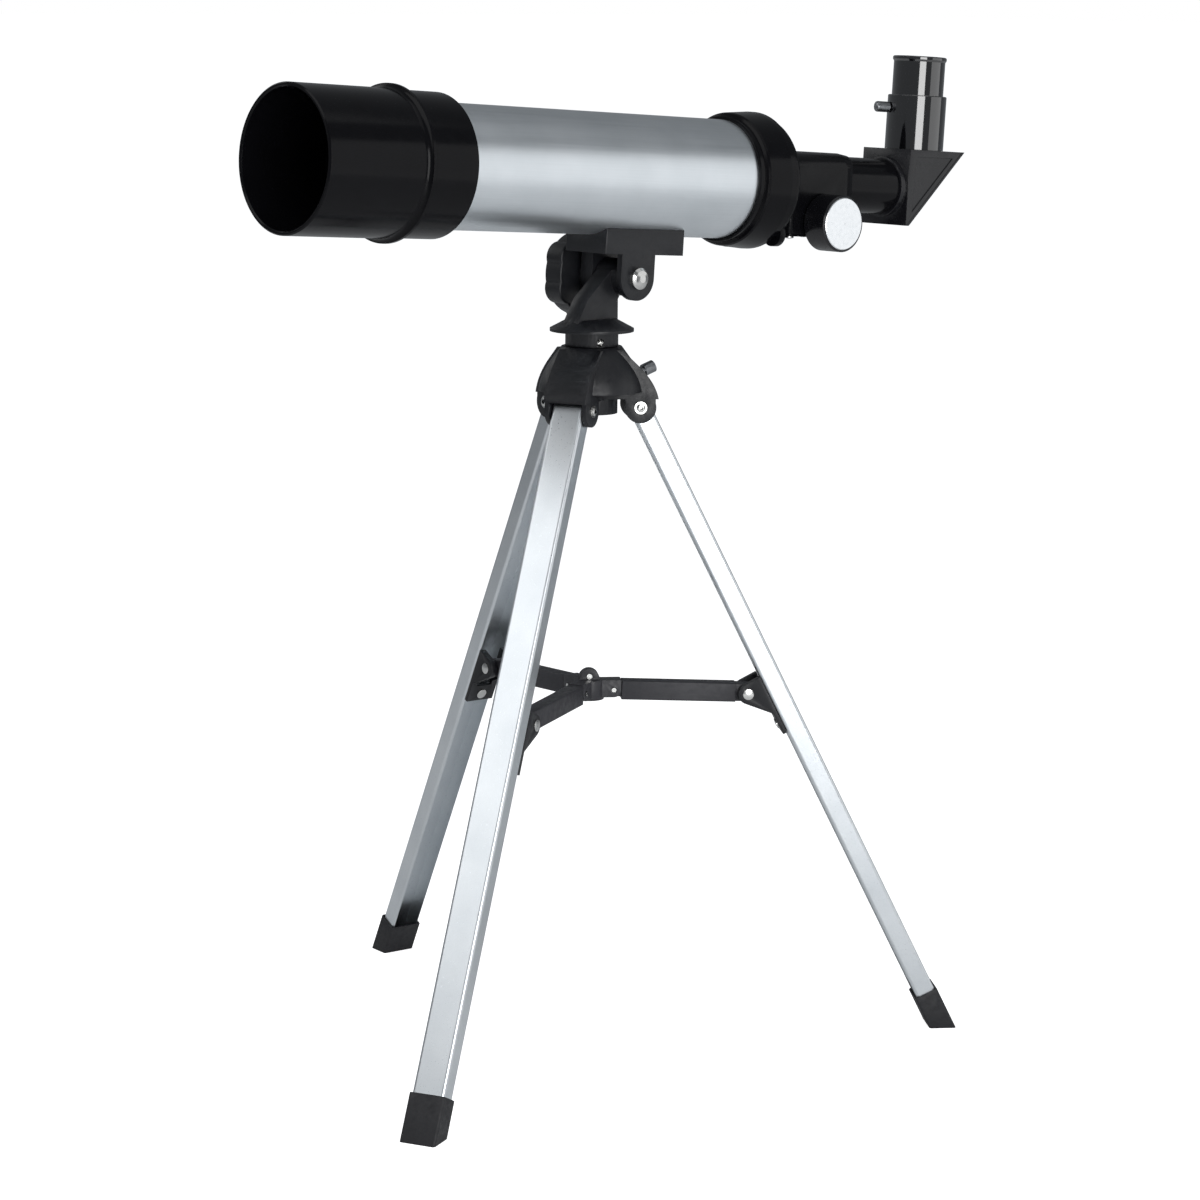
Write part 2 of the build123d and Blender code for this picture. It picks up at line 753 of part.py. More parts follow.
def diagonal_body():
    wall = diagonal_wall
    outline = [(diagonal_front, diagonal_top), slant(slant_length - cover_depth, cover_depth),
               slant(-cover_depth, cover_depth), (diagonal_front, -diagonal_bottom)]
    hollow = [(diagonal_front + wall, diagonal_top - wall),
              slant(slant_length - wall * sqrt(2), 0),
              slant((wall - diagonal_toe) * sqrt(2), 0)]
    middle_x = diagonal_front + diagonal_toe / 2
    border = panel_border
    panel = [(middle_x + border, diagonal_top - border),
             slant(slant_length - border * 2.4, border * sqrt(2) * 0.75),
             slant(border * 1.6, border * sqrt(2) * 0.75)]
    with BuildPart() as piece:
        with BuildSketch(tube_side.offset(-diagonal_half_width)):
            with BuildLine():
                Polyline(*outline, close=True)
            make_face()
        extrude(amount=2 * diagonal_half_width)
        with BuildSketch(tube_side.offset(wall - diagonal_half_width)):
            with BuildLine():
                Polyline(*hollow, close=True)
            make_face()
        extrude(amount=2 * (diagonal_half_width - wall), mode=Mode.SUBTRACT)
        for side in (-1, 1):
            with BuildSketch(tube_side.offset(side * diagonal_half_width)):
                with BuildLine():
                    Polyline(*panel, close=True)
                make_face()
            extrude(amount=-side * panel_depth, mode=Mode.SUBTRACT)
        with BuildSketch(across(diagonal_front)):
            Circle(diagonal_collar_radius)
        extrude(amount=-diagonal_collar)
        with BuildSketch(across(diagonal_front - diagonal_collar)):
            Circle(eyepiece_barrel_radius + press_gap)
        extrude(amount=diagonal_collar + wall, mode=Mode.SUBTRACT)
        with BuildSketch(deck(diagonal_top, eye_behind)):
            Circle(sleeve_spigot_radius + press_gap)
        extrude(amount=-wall, mode=Mode.SUBTRACT)
    finish(piece, "diagonal_body")


def diagonal_cover():
    with BuildPart() as piece:
        with BuildSketch(tube_side.offset(-diagonal_half_width)):
            with BuildLine():
                Polyline(slant(0, 0), slant(slant_length, 0),
                         slant(slant_length - cover_plate, cover_plate),
                         slant(-cover_plate, cover_plate), close=True)
            make_face()
        extrude(amount=2 * diagonal_half_width)
    finish(piece, "diagonal_cover")


def diagonal_mirror():
    back = cover_depth
    front = cover_depth + mirror_thickness
    half = diagonal_half_width - diagonal_wall - face_gap
    with BuildPart() as piece:
        with BuildSketch(tube_side.offset(-half)):
            with BuildLine():
                Polyline(slant(mirror_inset, back), slant(slant_length - mirror_inset, back),
                         slant(slant_length - mirror_inset, front), slant(mirror_inset, front), close=True)
            make_face()
        extrude(amount=2 * half)
    finish(piece, "diagonal_mirror")


def diagonal_barrel():
    start = diagonal_front - diagonal_barrel_length
    inner = eyepiece_barrel_radius - barrel_wall
    piece = turned([(start, inner), (start, eyepiece_barrel_radius - 0.3),
                    (start + 0.3, eyepiece_barrel_radius),
                    (diagonal_front + diagonal_wall, eyepiece_barrel_radius),
                    (diagonal_front + diagonal_wall, inner)])
    finish(piece, "diagonal_barrel")


eye_plane = Plane(tube_point(eye_behind, 0), x_dir=tube_up, z_dir=near_side)
eye_axis = Axis(tube_point(eye_behind, 0), tube_up)


def turned_on_eye(outline):
    """Turned about the eyepiece's axis: points are (above, radius)."""
    return ring_of(eye_plane, eye_axis, outline)


def clock_location(radius):
    """On the eyepiece sleeve's front, looking out along the set screw."""
    turn = radians(set_screw_clock)
    outward = -nose_back * cos(turn) - near_side * sin(turn)
    return Plane(tube_point(eye_behind, set_screw_above) + outward * radius,
                 x_dir=tube_up, z_dir=outward).location


def eyepiece_sleeve():
    bore = eyepiece_barrel_radius + running_gap
    foot = diagonal_top + seat_gap
    edge = sleeve_edge
    with BuildPart() as piece:
        with BuildSketch(eye_plane):
            with BuildLine():
                Polyline((diagonal_top - diagonal_wall, bore),
                         (diagonal_top - diagonal_wall, sleeve_spigot_radius),
                         (foot, sleeve_spigot_radius), (foot, sleeve_radius),
                         (sleeve_top - edge, sleeve_radius), (sleeve_top, sleeve_radius - edge),
                         (sleeve_top, bore), close=True)
            make_face()
        revolve(axis=eye_axis)
        with Locations(clock_location(0)):
            Cylinder(set_screw_radius + running_gap, 2 * sleeve_radius,
                     align=(Align.CENTER, Align.CENTER, Align.MIN), mode=Mode.SUBTRACT)
    finish(piece, "eyepiece_sleeve")


def set_screw():
    tip = eyepiece_barrel_radius + 3 * running_gap
    head_start = sleeve_radius + 0.5
    with BuildPart() as piece:
        with Locations(clock_location(tip)):
            Cylinder(set_screw_radius, head_start - tip + 0.5,
                     align=(Align.CENTER, Align.CENTER, Align.MIN))
        with Locations(clock_location(head_start)):
            Cylinder(set_screw_head_radius, set_screw_head_length,
                     align=(Align.CENTER, Align.CENTER, Align.MIN))
        fillet(piece.edges().filter_by(GeomType.CIRCLE).sort_by(
            lambda edge: (edge.center() - tube_point(eye_behind, set_screw_above)).length)[-1],
            set_screw_round)
    finish(piece, "set_screw")


def eyepiece():
    shoulder = sleeve_top + seat_gap
    joint = shoulder + eyepiece_socket
    foot = sleeve_top - eyepiece_insert
    barrel_inner = eyepiece_barrel_radius - barrel_wall
    piece = turned_on_eye([(foot, barrel_inner), (foot, eyepiece_barrel_radius),
                           (joint, eyepiece_barrel_radius), (joint, barrel_inner)])
    finish(piece, "eyepiece_barrel")
    socket = eyepiece_barrel_radius + press_gap
    lens_bore = eye_lens_radius + press_gap
    dish = eyepiece_top - eye_dish
    glass_top = dish - 0.3
    glass_bottom = (glass_top - sag(eye_lens_front_curve, eye_lens_radius)
                    - sag(eye_lens_rear_curve, eye_lens_radius) - eyepiece_lens_edge)
    seat = glass_bottom - 1.2
    rim_start = eyepiece_top - eyepiece_rim
    piece = turned_on_eye([
        (shoulder, socket), (shoulder, eyepiece_radius), (rim_start - 1.0, eyepiece_radius),
        (rim_start, eyepiece_rim_radius), (eyepiece_top - 0.5, eyepiece_rim_radius),
        (eyepiece_top, eyepiece_rim_radius - 0.5), (eyepiece_top, eyepiece_rim_radius - 1.6),
        (dish, lens_bore + 0.8), (dish, lens_bore), (seat, lens_bore), (seat, lens_bore - 0.8),
        (seat - 1.0, lens_bore - 0.8), (joint + seat_gap, eyepiece_radius - 2.2),
        (joint + seat_gap, socket)])
    finish(piece, "eyepiece_body")
    lens("eye_lens", glass_top, -eye_lens_front_curve, glass_bottom, eye_lens_rear_curve,
         eye_lens_radius, eye_plane, eye_axis)
    field = foot + 6.0
    field_radius = barrel_inner - press_gap
    field_top = (field + sag(field_lens_front_curve, field_radius)
                 + sag(field_lens_rear_curve, field_radius) + eyepiece_lens_edge)
    lens("field_lens", field_top, -field_lens_front_curve, field, field_lens_rear_curve,
         field_radius, eye_plane, eye_axis)


# ================================================================ saddle and altitude joint
pivot_point = tube_point(pivot_behind, -pivot_below)
pivot_turning = Plane(pivot_point, x_dir=near_side, z_dir=-nose_back)
pivot_axis = Axis(pivot_point, near_side)


def ear_profile(plane):
    with BuildSketch(plane) as profile:
        with Locations((pivot_behind, -pivot_below)):
            Circle(ear_radius)
        with Locations((pivot_behind, -(pivot_below + saddle_bottom) / 2)):
            Rectangle(2 * ear_radius, pivot_below - saddle_bottom)
    return profile.sketch


def saddle():
    length = saddle_rear - saddle_front
    with BuildPart() as piece:
        with BuildSketch(deck(-saddle_bottom, saddle_front)):
            with Locations((length / 2, 0)):
                RectangleRounded(length, 2 * saddle_half_width, saddle_corner)
        extrude(amount=saddle_bottom - saddle_top)
        extrude(ear_profile(tube_side.offset(saddle_half_width - near_ear_thickness)),
                amount=near_ear_thickness)
        extrude(ear_profile(tube_side.offset(-saddle_half_width)),
                amount=saddle_half_width - far_ear_inner)
        with BuildSketch(across(saddle_front)):
            Circle(tube_radius + press_gap)
        extrude(amount=length, mode=Mode.SUBTRACT)
        with BuildSketch(tube_side.offset(-saddle_half_width)):
            with Locations((pivot_behind, -pivot_below)):
                Circle(bolt_radius + press_gap)
        extrude(amount=2 * saddle_half_width, mode=Mode.SUBTRACT)
        with BuildSketch(deck(-saddle_bottom)):
            with Locations(*[(place, 0) for place in saddle_screw_places]):
                Circle(saddle_screw_radius + press_gap)
        extrude(amount=saddle_bottom, mode=Mode.SUBTRACT)
    finish(piece, "saddle")


def saddle_screws():
    inner = tube_radius - tube_wall
    head_seat = -(inner - 0.2)
    with BuildPart() as piece:
        with BuildSketch(deck(-saddle_bottom + 1.0)):
            with Locations(*[(place, 0) for place in saddle_screw_places]):
                Circle(saddle_screw_radius)
        extrude(amount=saddle_bottom - 1.0 + head_seat)
        with BuildSketch(deck(head_seat)):
            with Locations(*[(place, 0) for place in saddle_screw_places]):
                Circle(saddle_screw_head_radius)
        extrude(amount=saddle_screw_head)
    finish(piece, "saddle_screws")


def altitude_bolt():
    head = saddle_half_width + seat_gap
    bolt_end = clamp_face - clamp_cap - 0.5
    with BuildPart() as piece:
        with BuildSketch(pivot_turning):
            with BuildLine():
                Polyline((-bolt_end, 0), (-bolt_end, bolt_radius), (head, bolt_radius),
                         (head, bolt_head_radius), (head + bolt_head_height * 0.55, bolt_head_radius),
                         (head + bolt_head_height * 0.85, bolt_head_radius * 0.75),
                         (head + bolt_head_height, bolt_head_radius * 0.35),
                         (head + bolt_head_height, 0), close=True)
            make_face()
        revolve(axis=pivot_axis)
    finish(piece, "altitude_bolt")


def clamp_knob():
    boss_start = saddle_half_width + face_gap
    wing_start = clamp_face - clamp_depth
    with BuildPart() as piece:
        with BuildSketch(tube_side.offset(-clamp_face)):
            with Locations((pivot_behind, -pivot_below)):
                Circle(clamp_radius - clamp_scallop)
                with PolarLocations(clamp_radius - clamp_petal, clamp_lobes, start_angle=90):
                    Circle(clamp_petal)
        extrude(amount=clamp_face - wing_start)
        fillet(piece.edges().filter_by(GeomType.CIRCLE).filter_by(
            lambda edge: edge.length > clamp_round), clamp_round)
        with BuildSketch(tube_side.offset(-wing_start)):
            with Locations((pivot_behind, -pivot_below)):
                Circle(clamp_boss_radius)
        extrude(amount=wing_start - boss_start)
        with BuildSketch(tube_side.offset(-boss_start)):
            with Locations((pivot_behind, -pivot_below)):
                Circle(bolt_radius + running_gap)
        extrude(amount=-(clamp_face - boss_start - clamp_cap), mode=Mode.SUBTRACT)
    finish(piece, "altitude_clamp_knob")


# ================================================================ yoke
vertical_plane = Plane(origin=(0, 0, 0), x_dir=(1, 0, 0), z_dir=(0, -1, 0))


def radial_location(azimuth, radius, height, lean=0.0):
    """A place beside the vertical axis, its normal pointing out and up by the lean."""
    turn = radians(azimuth)
    level = Vector(cos(turn), sin(turn), 0)
    outward = level * cos(radians(lean)) + Vector(0, 0, sin(radians(lean)))
    across_dir = Vector(-sin(turn), cos(turn), 0)
    return Plane(level * radius + Vector(0, 0, height), x_dir=across_dir, z_dir=outward).location


def yoke():
    pivot_x, pivot_z = pivot_point.X, pivot_point.Z
    turn = radians(yoke_crest_turn)
    crest = (pivot_x + barrel_radius * cos(turn), pivot_z + barrel_radius * sin(turn))
    column_foot = disc_top - disc_cone * 0.6
    with BuildPart() as piece:
        with BuildSketch(vertical_plane):
            with BuildLine():
                Polyline((0, spigot_bottom), (spigot_radius, spigot_bottom),
                         (spigot_radius, neck_bottom), (neck_radius, neck_bottom),
                         (neck_radius, disc_bottom), (disc_radius, disc_bottom),
                         (disc_radius, disc_bottom + disc_rim), (yoke_rear, disc_top),
                         (0, disc_top), close=True)
            make_face()
        revolve(axis=Axis.Z)
        with BuildSketch(vertical_plane.offset(-yoke_thickness / 2)):
            with BuildLine():
                Polyline((-yoke_front_foot, column_foot), (-yoke_front_foot / 2, disc_top + yoke_waist),
                         crest, (pivot_x, pivot_z), (yoke_rear, pivot_z - 4), (yoke_rear, column_foot),
                         close=True)
            make_face()
        extrude(amount=yoke_thickness)
        with BuildSketch(vertical_plane.offset(-barrel_half_far)):
            with Locations((pivot_x, pivot_z)):
                Circle(barrel_radius)
        extrude(amount=barrel_half_far + barrel_half_near)
        with BuildSketch(vertical_plane.offset(-barrel_half_far)):
            with Locations((pivot_x, pivot_z)):
                Circle(bolt_radius + running_gap)
        extrude(amount=barrel_half_far + barrel_half_near, mode=Mode.SUBTRACT)
        with BuildSketch(Plane.XY.offset(spigot_bottom)):
            Circle(spindle_radius + press_gap)
        extrude(amount=spindle_top - spigot_bottom + 1.0, mode=Mode.SUBTRACT)
        with Locations(radial_location(neck_screw_azimuth, neck_radius - neck_screw_depth,
                                       neck_screw_height)):
            Cylinder(neck_screw_radius + press_gap, 6,
                     align=(Align.CENTER, Align.CENTER, Align.MIN), mode=Mode.SUBTRACT)
    finish(piece, "yoke")


def neck_screw():
    with BuildPart() as piece:
        with Locations(radial_location(neck_screw_azimuth, neck_radius - neck_screw_depth + seat_gap,
                                       neck_screw_height)):
            Cylinder(neck_screw_radius, neck_screw_length, align=(Align.CENTER, Align.CENTER, Align.MIN))
    finish(piece, "neck_screw")


def azimuth_spindle():
    head_top = spindle_bottom + spindle_head
    with BuildPart() as piece:
        with BuildSketch(Plane.XY.offset(spindle_bottom)):
            RegularPolygon(spindle_head_radius, 6)
        extrude(amount=head_top - spindle_bottom)
        with BuildSketch(Plane.XY.offset(head_top)):
            Circle(spindle_radius)
        extrude(amount=spindle_top - head_top)
    finish(piece, "azimuth_spindle")
    with BuildPart() as piece:
        with BuildSketch(Plane.XY.offset(head_top + seat_gap)):
            Circle(spindle_washer_radius)
            Circle(spindle_radius + press_gap, mode=Mode.SUBTRACT)
        extrude(amount=spindle_washer)
    finish(piece, "spindle_washer")


# ================================================================ hub housing
def leg_frame(azimuth):
    """Pivot point, outward level direction, sideways direction, down-leg direction, leg's outward normal."""
    turn, lean = radians(azimuth), radians(splay)
    level = Vector(cos(turn), sin(turn), 0)
    aside = Vector(-sin(turn), cos(turn), 0)
    pivot = level * leg_pivot_radius + Vector(0, 0, leg_pivot_height)
    down = level * sin(lean) - Vector(0, 0, cos(lean))
    outward = level * cos(lean) + Vector(0, 0, sin(lean))
    return pivot, level, aside, down, outward


def radial_plane(azimuth):
    """Upright through the vertical axis: x outwards at the azimuth, y up."""
    turn = radians(azimuth)
    return Plane(origin=(0, 0, 0), x_dir=(cos(turn), sin(turn), 0), z_dir=(sin(turn), -cos(turn), 0))


def dome_profile(plane, radius, skirt, top, collar):
    rise = top - skirt
    with BuildSketch(plane) as profile:
        with BuildLine():
            Line((0, skirt), (radius, skirt))
            Spline((radius, skirt), (collar + (radius - collar) * 0.70, skirt + rise * 0.47),
                   (collar + (radius - collar) * 0.30, skirt + rise * 0.79), (collar, top))
            Line((collar, top), (0, top))
            Line((0, top), (0, skirt))
        make_face()
    return profile.sketch


def hub_housing():
    skirt, top = hub_skirt_height, hub_top_height
    with BuildPart() as piece:
        revolve(dome_profile(Plane.XZ, hub_valley_radius, skirt, top, hub_collar_radius),
                axis=Axis.Z)
        for azimuth in leg_azimuths.values():
            extrude(dome_profile(radial_plane(azimuth).offset(-ear_outer), hub_lobe_radius,
                                 hub_lobe_skirt, top - 1.0, hub_collar_radius - 1.0), amount=2 * ear_outer)
        revolve(dome_profile(Plane.XZ, hub_valley_radius - hub_wall, skirt, top - hub_wall - 1.0,
                             hub_collar_radius - hub_wall), axis=Axis.Z, mode=Mode.SUBTRACT)
        for azimuth in leg_azimuths.values():
            extrude(dome_profile(radial_plane(azimuth).offset(-ear_inner), hub_lobe_radius - hub_wall,
                                 hub_lobe_skirt, top - hub_wall - 2.0, hub_collar_radius - hub_wall - 1.0),
                    amount=2 * ear_inner, mode=Mode.SUBTRACT)
        with BuildSketch(Plane.XY.offset(drum_bottom)):
            Circle(drum_radius)
        extrude(amount=top - hub_wall - drum_bottom)
        for azimuth in leg_azimuths.values():
            for start in (-ear_outer, ear_inner):
                with BuildSketch(radial_plane(azimuth).offset(start)):
                    with Locations((leg_pivot_radius, leg_pivot_height)):
                        Circle(ear_drop)
                    with Locations((leg_pivot_radius, (leg_pivot_height + skirt) / 2)):
                        Rectangle(2 * ear_reach, skirt - leg_pivot_height)
                extrude(amount=ear_thickness)
        with BuildSketch(Plane.XY.offset(spigot_bottom - face_gap)):
            Circle(spigot_radius + running_gap)
        extrude(amount=top, mode=Mode.SUBTRACT)
        with BuildSketch(Plane.XY.offset(drum_bottom)):
            Circle(spindle_radius + running_gap)
        extrude(amount=top, mode=Mode.SUBTRACT)
        with BuildSketch(Plane.XY.offset(drum_bottom)):
            Circle(spindle_washer_radius + face_gap)
        extrude(amount=spindle_pocket_top - drum_bottom, mode=Mode.SUBTRACT)
        for azimuth in leg_azimuths.values():
            with BuildSketch(radial_plane(azimuth).offset(-ear_outer)):
                with Locations((leg_pivot_radius, leg_pivot_height)):
                    Circle(rivet_radius + press_gap)
            extrude(amount=2 * ear_outer, mode=Mode.SUBTRACT)
        with Locations(radial_location(lock_azimuth, lock_tip_radius, lock_base_height, lock_lean)):
            Cylinder(lock_screw_radius + running_gap, 2 * hub_lobe_radius,
                     align=(Align.CENTER, Align.CENTER, Align.MIN), mode=Mode.SUBTRACT)
    finish(piece, "hub_housing")


def azimuth_lock_screw():
    with BuildPart() as piece:
        with Locations(radial_location(lock_azimuth, lock_tip_radius, lock_base_height, lock_lean)):
            Cylinder(lock_screw_radius, lock_head_start + 1.0,
                     align=(Align.CENTER, Align.CENTER, Align.MIN))
        with Locations(radial_location(lock_azimuth, lock_tip_radius, lock_base_height, lock_lean)
                       * Pos(0, 0, lock_head_start)):
            Cylinder(lock_head_radius, lock_head_length,
                     align=(Align.CENTER, Align.CENTER, Align.MIN))
    finish(piece, "azimuth_lock_screw")


def both_ways(plane, start, length):
    """Locations of a disc of this length on both sides of a plane, each starting this far out."""
    return [plane.offset(start).location, plane.offset(-start - length).location]


def leg_rivets():
    with BuildPart() as piece:
        for azimuth in leg_azimuths.values():
            spot = Plane(leg_frame(azimuth)[0], x_dir=(0, 0, 1), z_dir=leg_frame(azimuth)[2])
            head_start = ear_outer + washer_thickness + 2 * seat_gap
            with Locations(spot.location):
                Cylinder(rivet_radius, 2 * head_start)
            with Locations(*both_ways(spot, head_start, rivet_head)):
                Cylinder(rivet_head_radius, rivet_head, align=(Align.CENTER, Align.CENTER, Align.MIN))
            for side in (-1, 1):
                with Locations(spot.offset(side * (head_start + rivet_head)).location):
                    Cylinder(rivet_bore, 2 * rivet_bore_depth, mode=Mode.SUBTRACT)
    finish(piece, "leg_rivets")
    with BuildPart() as piece:
        for azimuth in leg_azimuths.values():
            spot = Plane(leg_frame(azimuth)[0], x_dir=(0, 0, 1), z_dir=leg_frame(azimuth)[2])
            with Locations(*both_ways(spot, ear_outer + seat_gap, washer_thickness)):
                Cylinder(washer_radius, washer_thickness, align=(Align.CENTER, Align.CENTER, Align.MIN))
                Cylinder(rivet_radius + press_gap, washer_thickness, mode=Mode.SUBTRACT,
                         align=(Align.CENTER, Align.CENTER, Align.MIN))
    finish(piece, "rivet_washers")


# ================================================================ legs
def leg_side(azimuth):
    """In the plane of a leg's swing: x down the leg from its pivot, y outwards."""
    pivot, _, aside, down, _ = leg_frame(azimuth)
    return Plane(pivot, x_dir=down, z_dir=-aside)


def leg(letter, azimuth):
    side = leg_side(azimuth)
    web = leg_half_depth - leg_wall
    with BuildPart() as piece:
        with BuildSketch(side.offset(-leg_half_width)):
            Circle(leg_half_depth)
            with Locations((leg_end / 2, 0)):
                Rectangle(leg_end, leg_depth)
        extrude(amount=leg_width)
        long_edges = piece.edges().filter_by(GeomType.LINE).filter_by(
            lambda edge: edge.length > leg_run / 2)
        outer_edges = long_edges.sort_by(lambda edge: side.to_local_coords(edge.center()).Y)[-2:]
        fillet(outer_edges, leg_corner)
        with BuildSketch(side.offset(leg_wall - leg_half_width)):
            with Locations((leg_end / 2, web - leg_depth)):
                Rectangle(2 * leg_end, 2 * leg_depth)
        extrude(amount=leg_width - 2 * leg_wall, mode=Mode.SUBTRACT)
        with BuildSketch(side.offset(-leg_half_width)):
            Circle(rivet_radius + running_gap)
        extrude(amount=leg_width, mode=Mode.SUBTRACT)
    finish(piece, f"leg_{letter}")


def foot(letter, azimuth):
    side = leg_side(azimuth)
    start = leg_run - foot_height
    outer_half_width = leg_half_width + press_gap + foot_side_wall
    outer_half_depth = leg_half_depth + press_gap + foot_face_wall
    below = 2 * foot_height
    with BuildPart() as piece:
        with BuildSketch(side.offset(-outer_half_width)):
            with Locations((start + below / 2, 0)):
                Rectangle(below, 2 * outer_half_depth)
        extrude(amount=2 * outer_half_width)
        fillet(piece.edges().filter_by(GeomType.LINE).filter_by(
            lambda edge: edge.length > below * 0.9), foot_corner)
        with BuildSketch(side.offset(-leg_half_width - press_gap)):
            with Locations(((start + leg_end) / 2, 0)):
                Rectangle(leg_end - start + press_gap, leg_depth + 2 * press_gap)
        extrude(amount=leg_width + 2 * press_gap, mode=Mode.SUBTRACT)
        split(bisect_by=Plane.XY, keep=Keep.TOP)
    finish(piece, f"foot_{letter}")


# ================================================================ leg brackets
def bracket(letter, azimuth):
    side = leg_side(azimuth)
    half = bracket_width / 2
    mouth = -leg_half_depth - seat_gap
    tab_start = bracket_run + bracket_slot_run + 0.6
    tab_length = bracket_below - bracket_slot_run - 1.6
    tab_half = leg_half_width - leg_wall - press_gap
    plate_middle = bracket_run + (bracket_below - bracket_above) / 2
    lower_turn = radians(bracket_heel_turn)
    with BuildPart() as piece:
        with BuildSketch(side.offset(-half)):
            with Locations((plate_middle, mouth - bracket_plate / 2)):
                Rectangle(bracket_below + bracket_above, bracket_plate)
            with Locations((bracket_run, -knuckle_in)):
                Circle(bracket_knuckle)
            with BuildLine():
                Polyline((bracket_run - bracket_above, mouth - bracket_plate / 2),
                         (bracket_run - bracket_knuckle, -knuckle_in), (bracket_run, -knuckle_in),
                         (bracket_run + bracket_knuckle * cos(lower_turn),
                          -knuckle_in + bracket_knuckle * sin(lower_turn)),
                         (bracket_run + bracket_slot_run - 1.0, mouth - bracket_plate / 2), close=True)
            make_face()
        extrude(amount=2 * half)
        with BuildSketch(side.offset(-slot_half)):
            with Locations((bracket_run, -knuckle_in)):
                Rectangle(2 * bracket_slot_run, 2 * knuckle_in)
        extrude(amount=2 * slot_half, mode=Mode.SUBTRACT)
        with BuildSketch(side.offset(-tab_half)):
            with Locations((tab_start + tab_length / 2, (mouth + leg_half_depth - leg_wall) / 2 - 0.4)):
                Rectangle(tab_length, leg_half_depth - leg_wall - mouth - 0.8)
        extrude(amount=2 * tab_half)
        with BuildSketch(side.offset(-half)):
            with Locations((bracket_run, -knuckle_in)):
                Circle(pin_stub_radius + press_gap)
        extrude(amount=2 * half, mode=Mode.SUBTRACT)
        with Locations(bracket_rivet_location(azimuth, 0)):
            Cylinder(pin_stub_radius + press_gap, 5, align=(Align.CENTER, Align.CENTER, Align.MAX),
                     mode=Mode.SUBTRACT)
    finish(piece, f"bracket_{letter}")


def bracket_rivet_location(azimuth, lift):
    """On the bracket plate's face, its normal pointing inwards off the leg."""
    pivot, _, aside, down, outward = leg_frame(azimuth)
    face = leg_half_depth + seat_gap + bracket_plate
    spot = pivot + down * (bracket_run + bracket_rivet_run) - outward * (face + lift)
    return Plane(spot, x_dir=down, z_dir=-outward).location


def bracket_rivets(letter, azimuth):
    side = leg_side(azimuth)
    half = bracket_width / 2
    stub = half - slot_half
    head = bracket_rivet_head
    with BuildPart() as piece:
        with Locations(bracket_rivet_location(azimuth, 0)):
            Cylinder(pin_stub_radius, 4.5, align=(Align.CENTER, Align.CENTER, Align.MAX))
        with Locations(bracket_rivet_location(azimuth, seat_gap)):
            Cylinder(2 * pin_stub_radius, head, align=(Align.CENTER, Align.CENTER, Align.MIN))
        with Locations(bracket_rivet_location(azimuth, 0)):
            Cylinder(pin_stub_radius, seat_gap, align=(Align.CENTER, Align.CENTER, Align.MIN))
        for start, length, radius in ((slot_half, stub + seat_gap, pin_stub_radius),
                                      (half + seat_gap, head, bracket_pin_head_radius)):
            for offset in (start, -start - length):
                with BuildSketch(side.offset(offset)):
                    with Locations((bracket_run, -knuckle_in)):
                        Circle(radius)
                extrude(amount=length)
    finish(piece, f"bracket_rivets_{letter}")


# ================================================================ spreader
def arm_side(azimuth):
    """In an arm's plane of swing: x along the arm from its inner pivot, y up."""
    turn, drop = radians(azimuth), radians(spreader_rise)
    level = Vector(cos(turn), sin(turn), 0)
    aside = Vector(-sin(turn), cos(turn), 0)
    along = level * cos(drop) - Vector(0, 0, sin(drop))
    pivot = level * spreader_pivot_radius + Vector(0, 0, spreader_height)
    return Plane(pivot, x_dir=along, z_dir=-aside)


def spreader_arm(letter, azimuth):
    side = arm_side(azimuth)
    tip_start = arm_length - arm_tip_radius - 1.2
    body_middle = (arm_end_gap + tip_start) / 2
    body_run = tip_start - arm_end_gap
    with BuildPart() as piece:
        with BuildSketch(side.offset(-arm_half_width)):
            with Locations((body_middle, 0)):
                Rectangle(body_run, arm_height)
        extrude(amount=arm_width)
        fillet(piece.edges().filter_by(lambda edge: edge.length > body_run * 0.9), arm_corner)
        with BuildSketch(side.offset(arm_wall - arm_half_width)):
            with Locations((body_middle, -arm_wall)):
                Rectangle(body_run - 2 * arm_wall, arm_height)
        extrude(amount=arm_width - 2 * arm_wall, mode=Mode.SUBTRACT)
        with BuildSketch(side.offset(-arm_root_width / 2)):
            Circle(arm_root_radius)
            with Locations(((arm_end_gap + arm_wall) / 2, 0)):
                Rectangle(arm_end_gap + arm_wall, 2 * arm_root_radius)
        extrude(amount=arm_root_width)
        with BuildSketch(side.offset(-arm_tip_width / 2)):
            with Locations((arm_length, 0)):
                Circle(arm_tip_radius)
            with Locations(((tip_start - arm_wall + arm_length) / 2, 0)):
                Rectangle(arm_length - tip_start + arm_wall, 2 * arm_tip_radius - 0.6)
        extrude(amount=arm_tip_width)
        with BuildSketch(side.offset(-arm_half_width)):
            Circle(spreader_pin_radius + running_gap)
            with Locations((arm_length, 0)):
                Circle(pin_stub_radius)
        extrude(amount=arm_width, mode=Mode.SUBTRACT)
    finish(piece, f"spreader_arm_{letter}")


def spoke_plane(azimuth, offset):
    """Upright along an arm at the spreader's height: x outwards, y up."""
    spoke = radial_plane(azimuth)
    return Plane(origin=(0, 0, spreader_height), x_dir=spoke.x_dir, z_dir=spoke.z_dir).offset(offset)


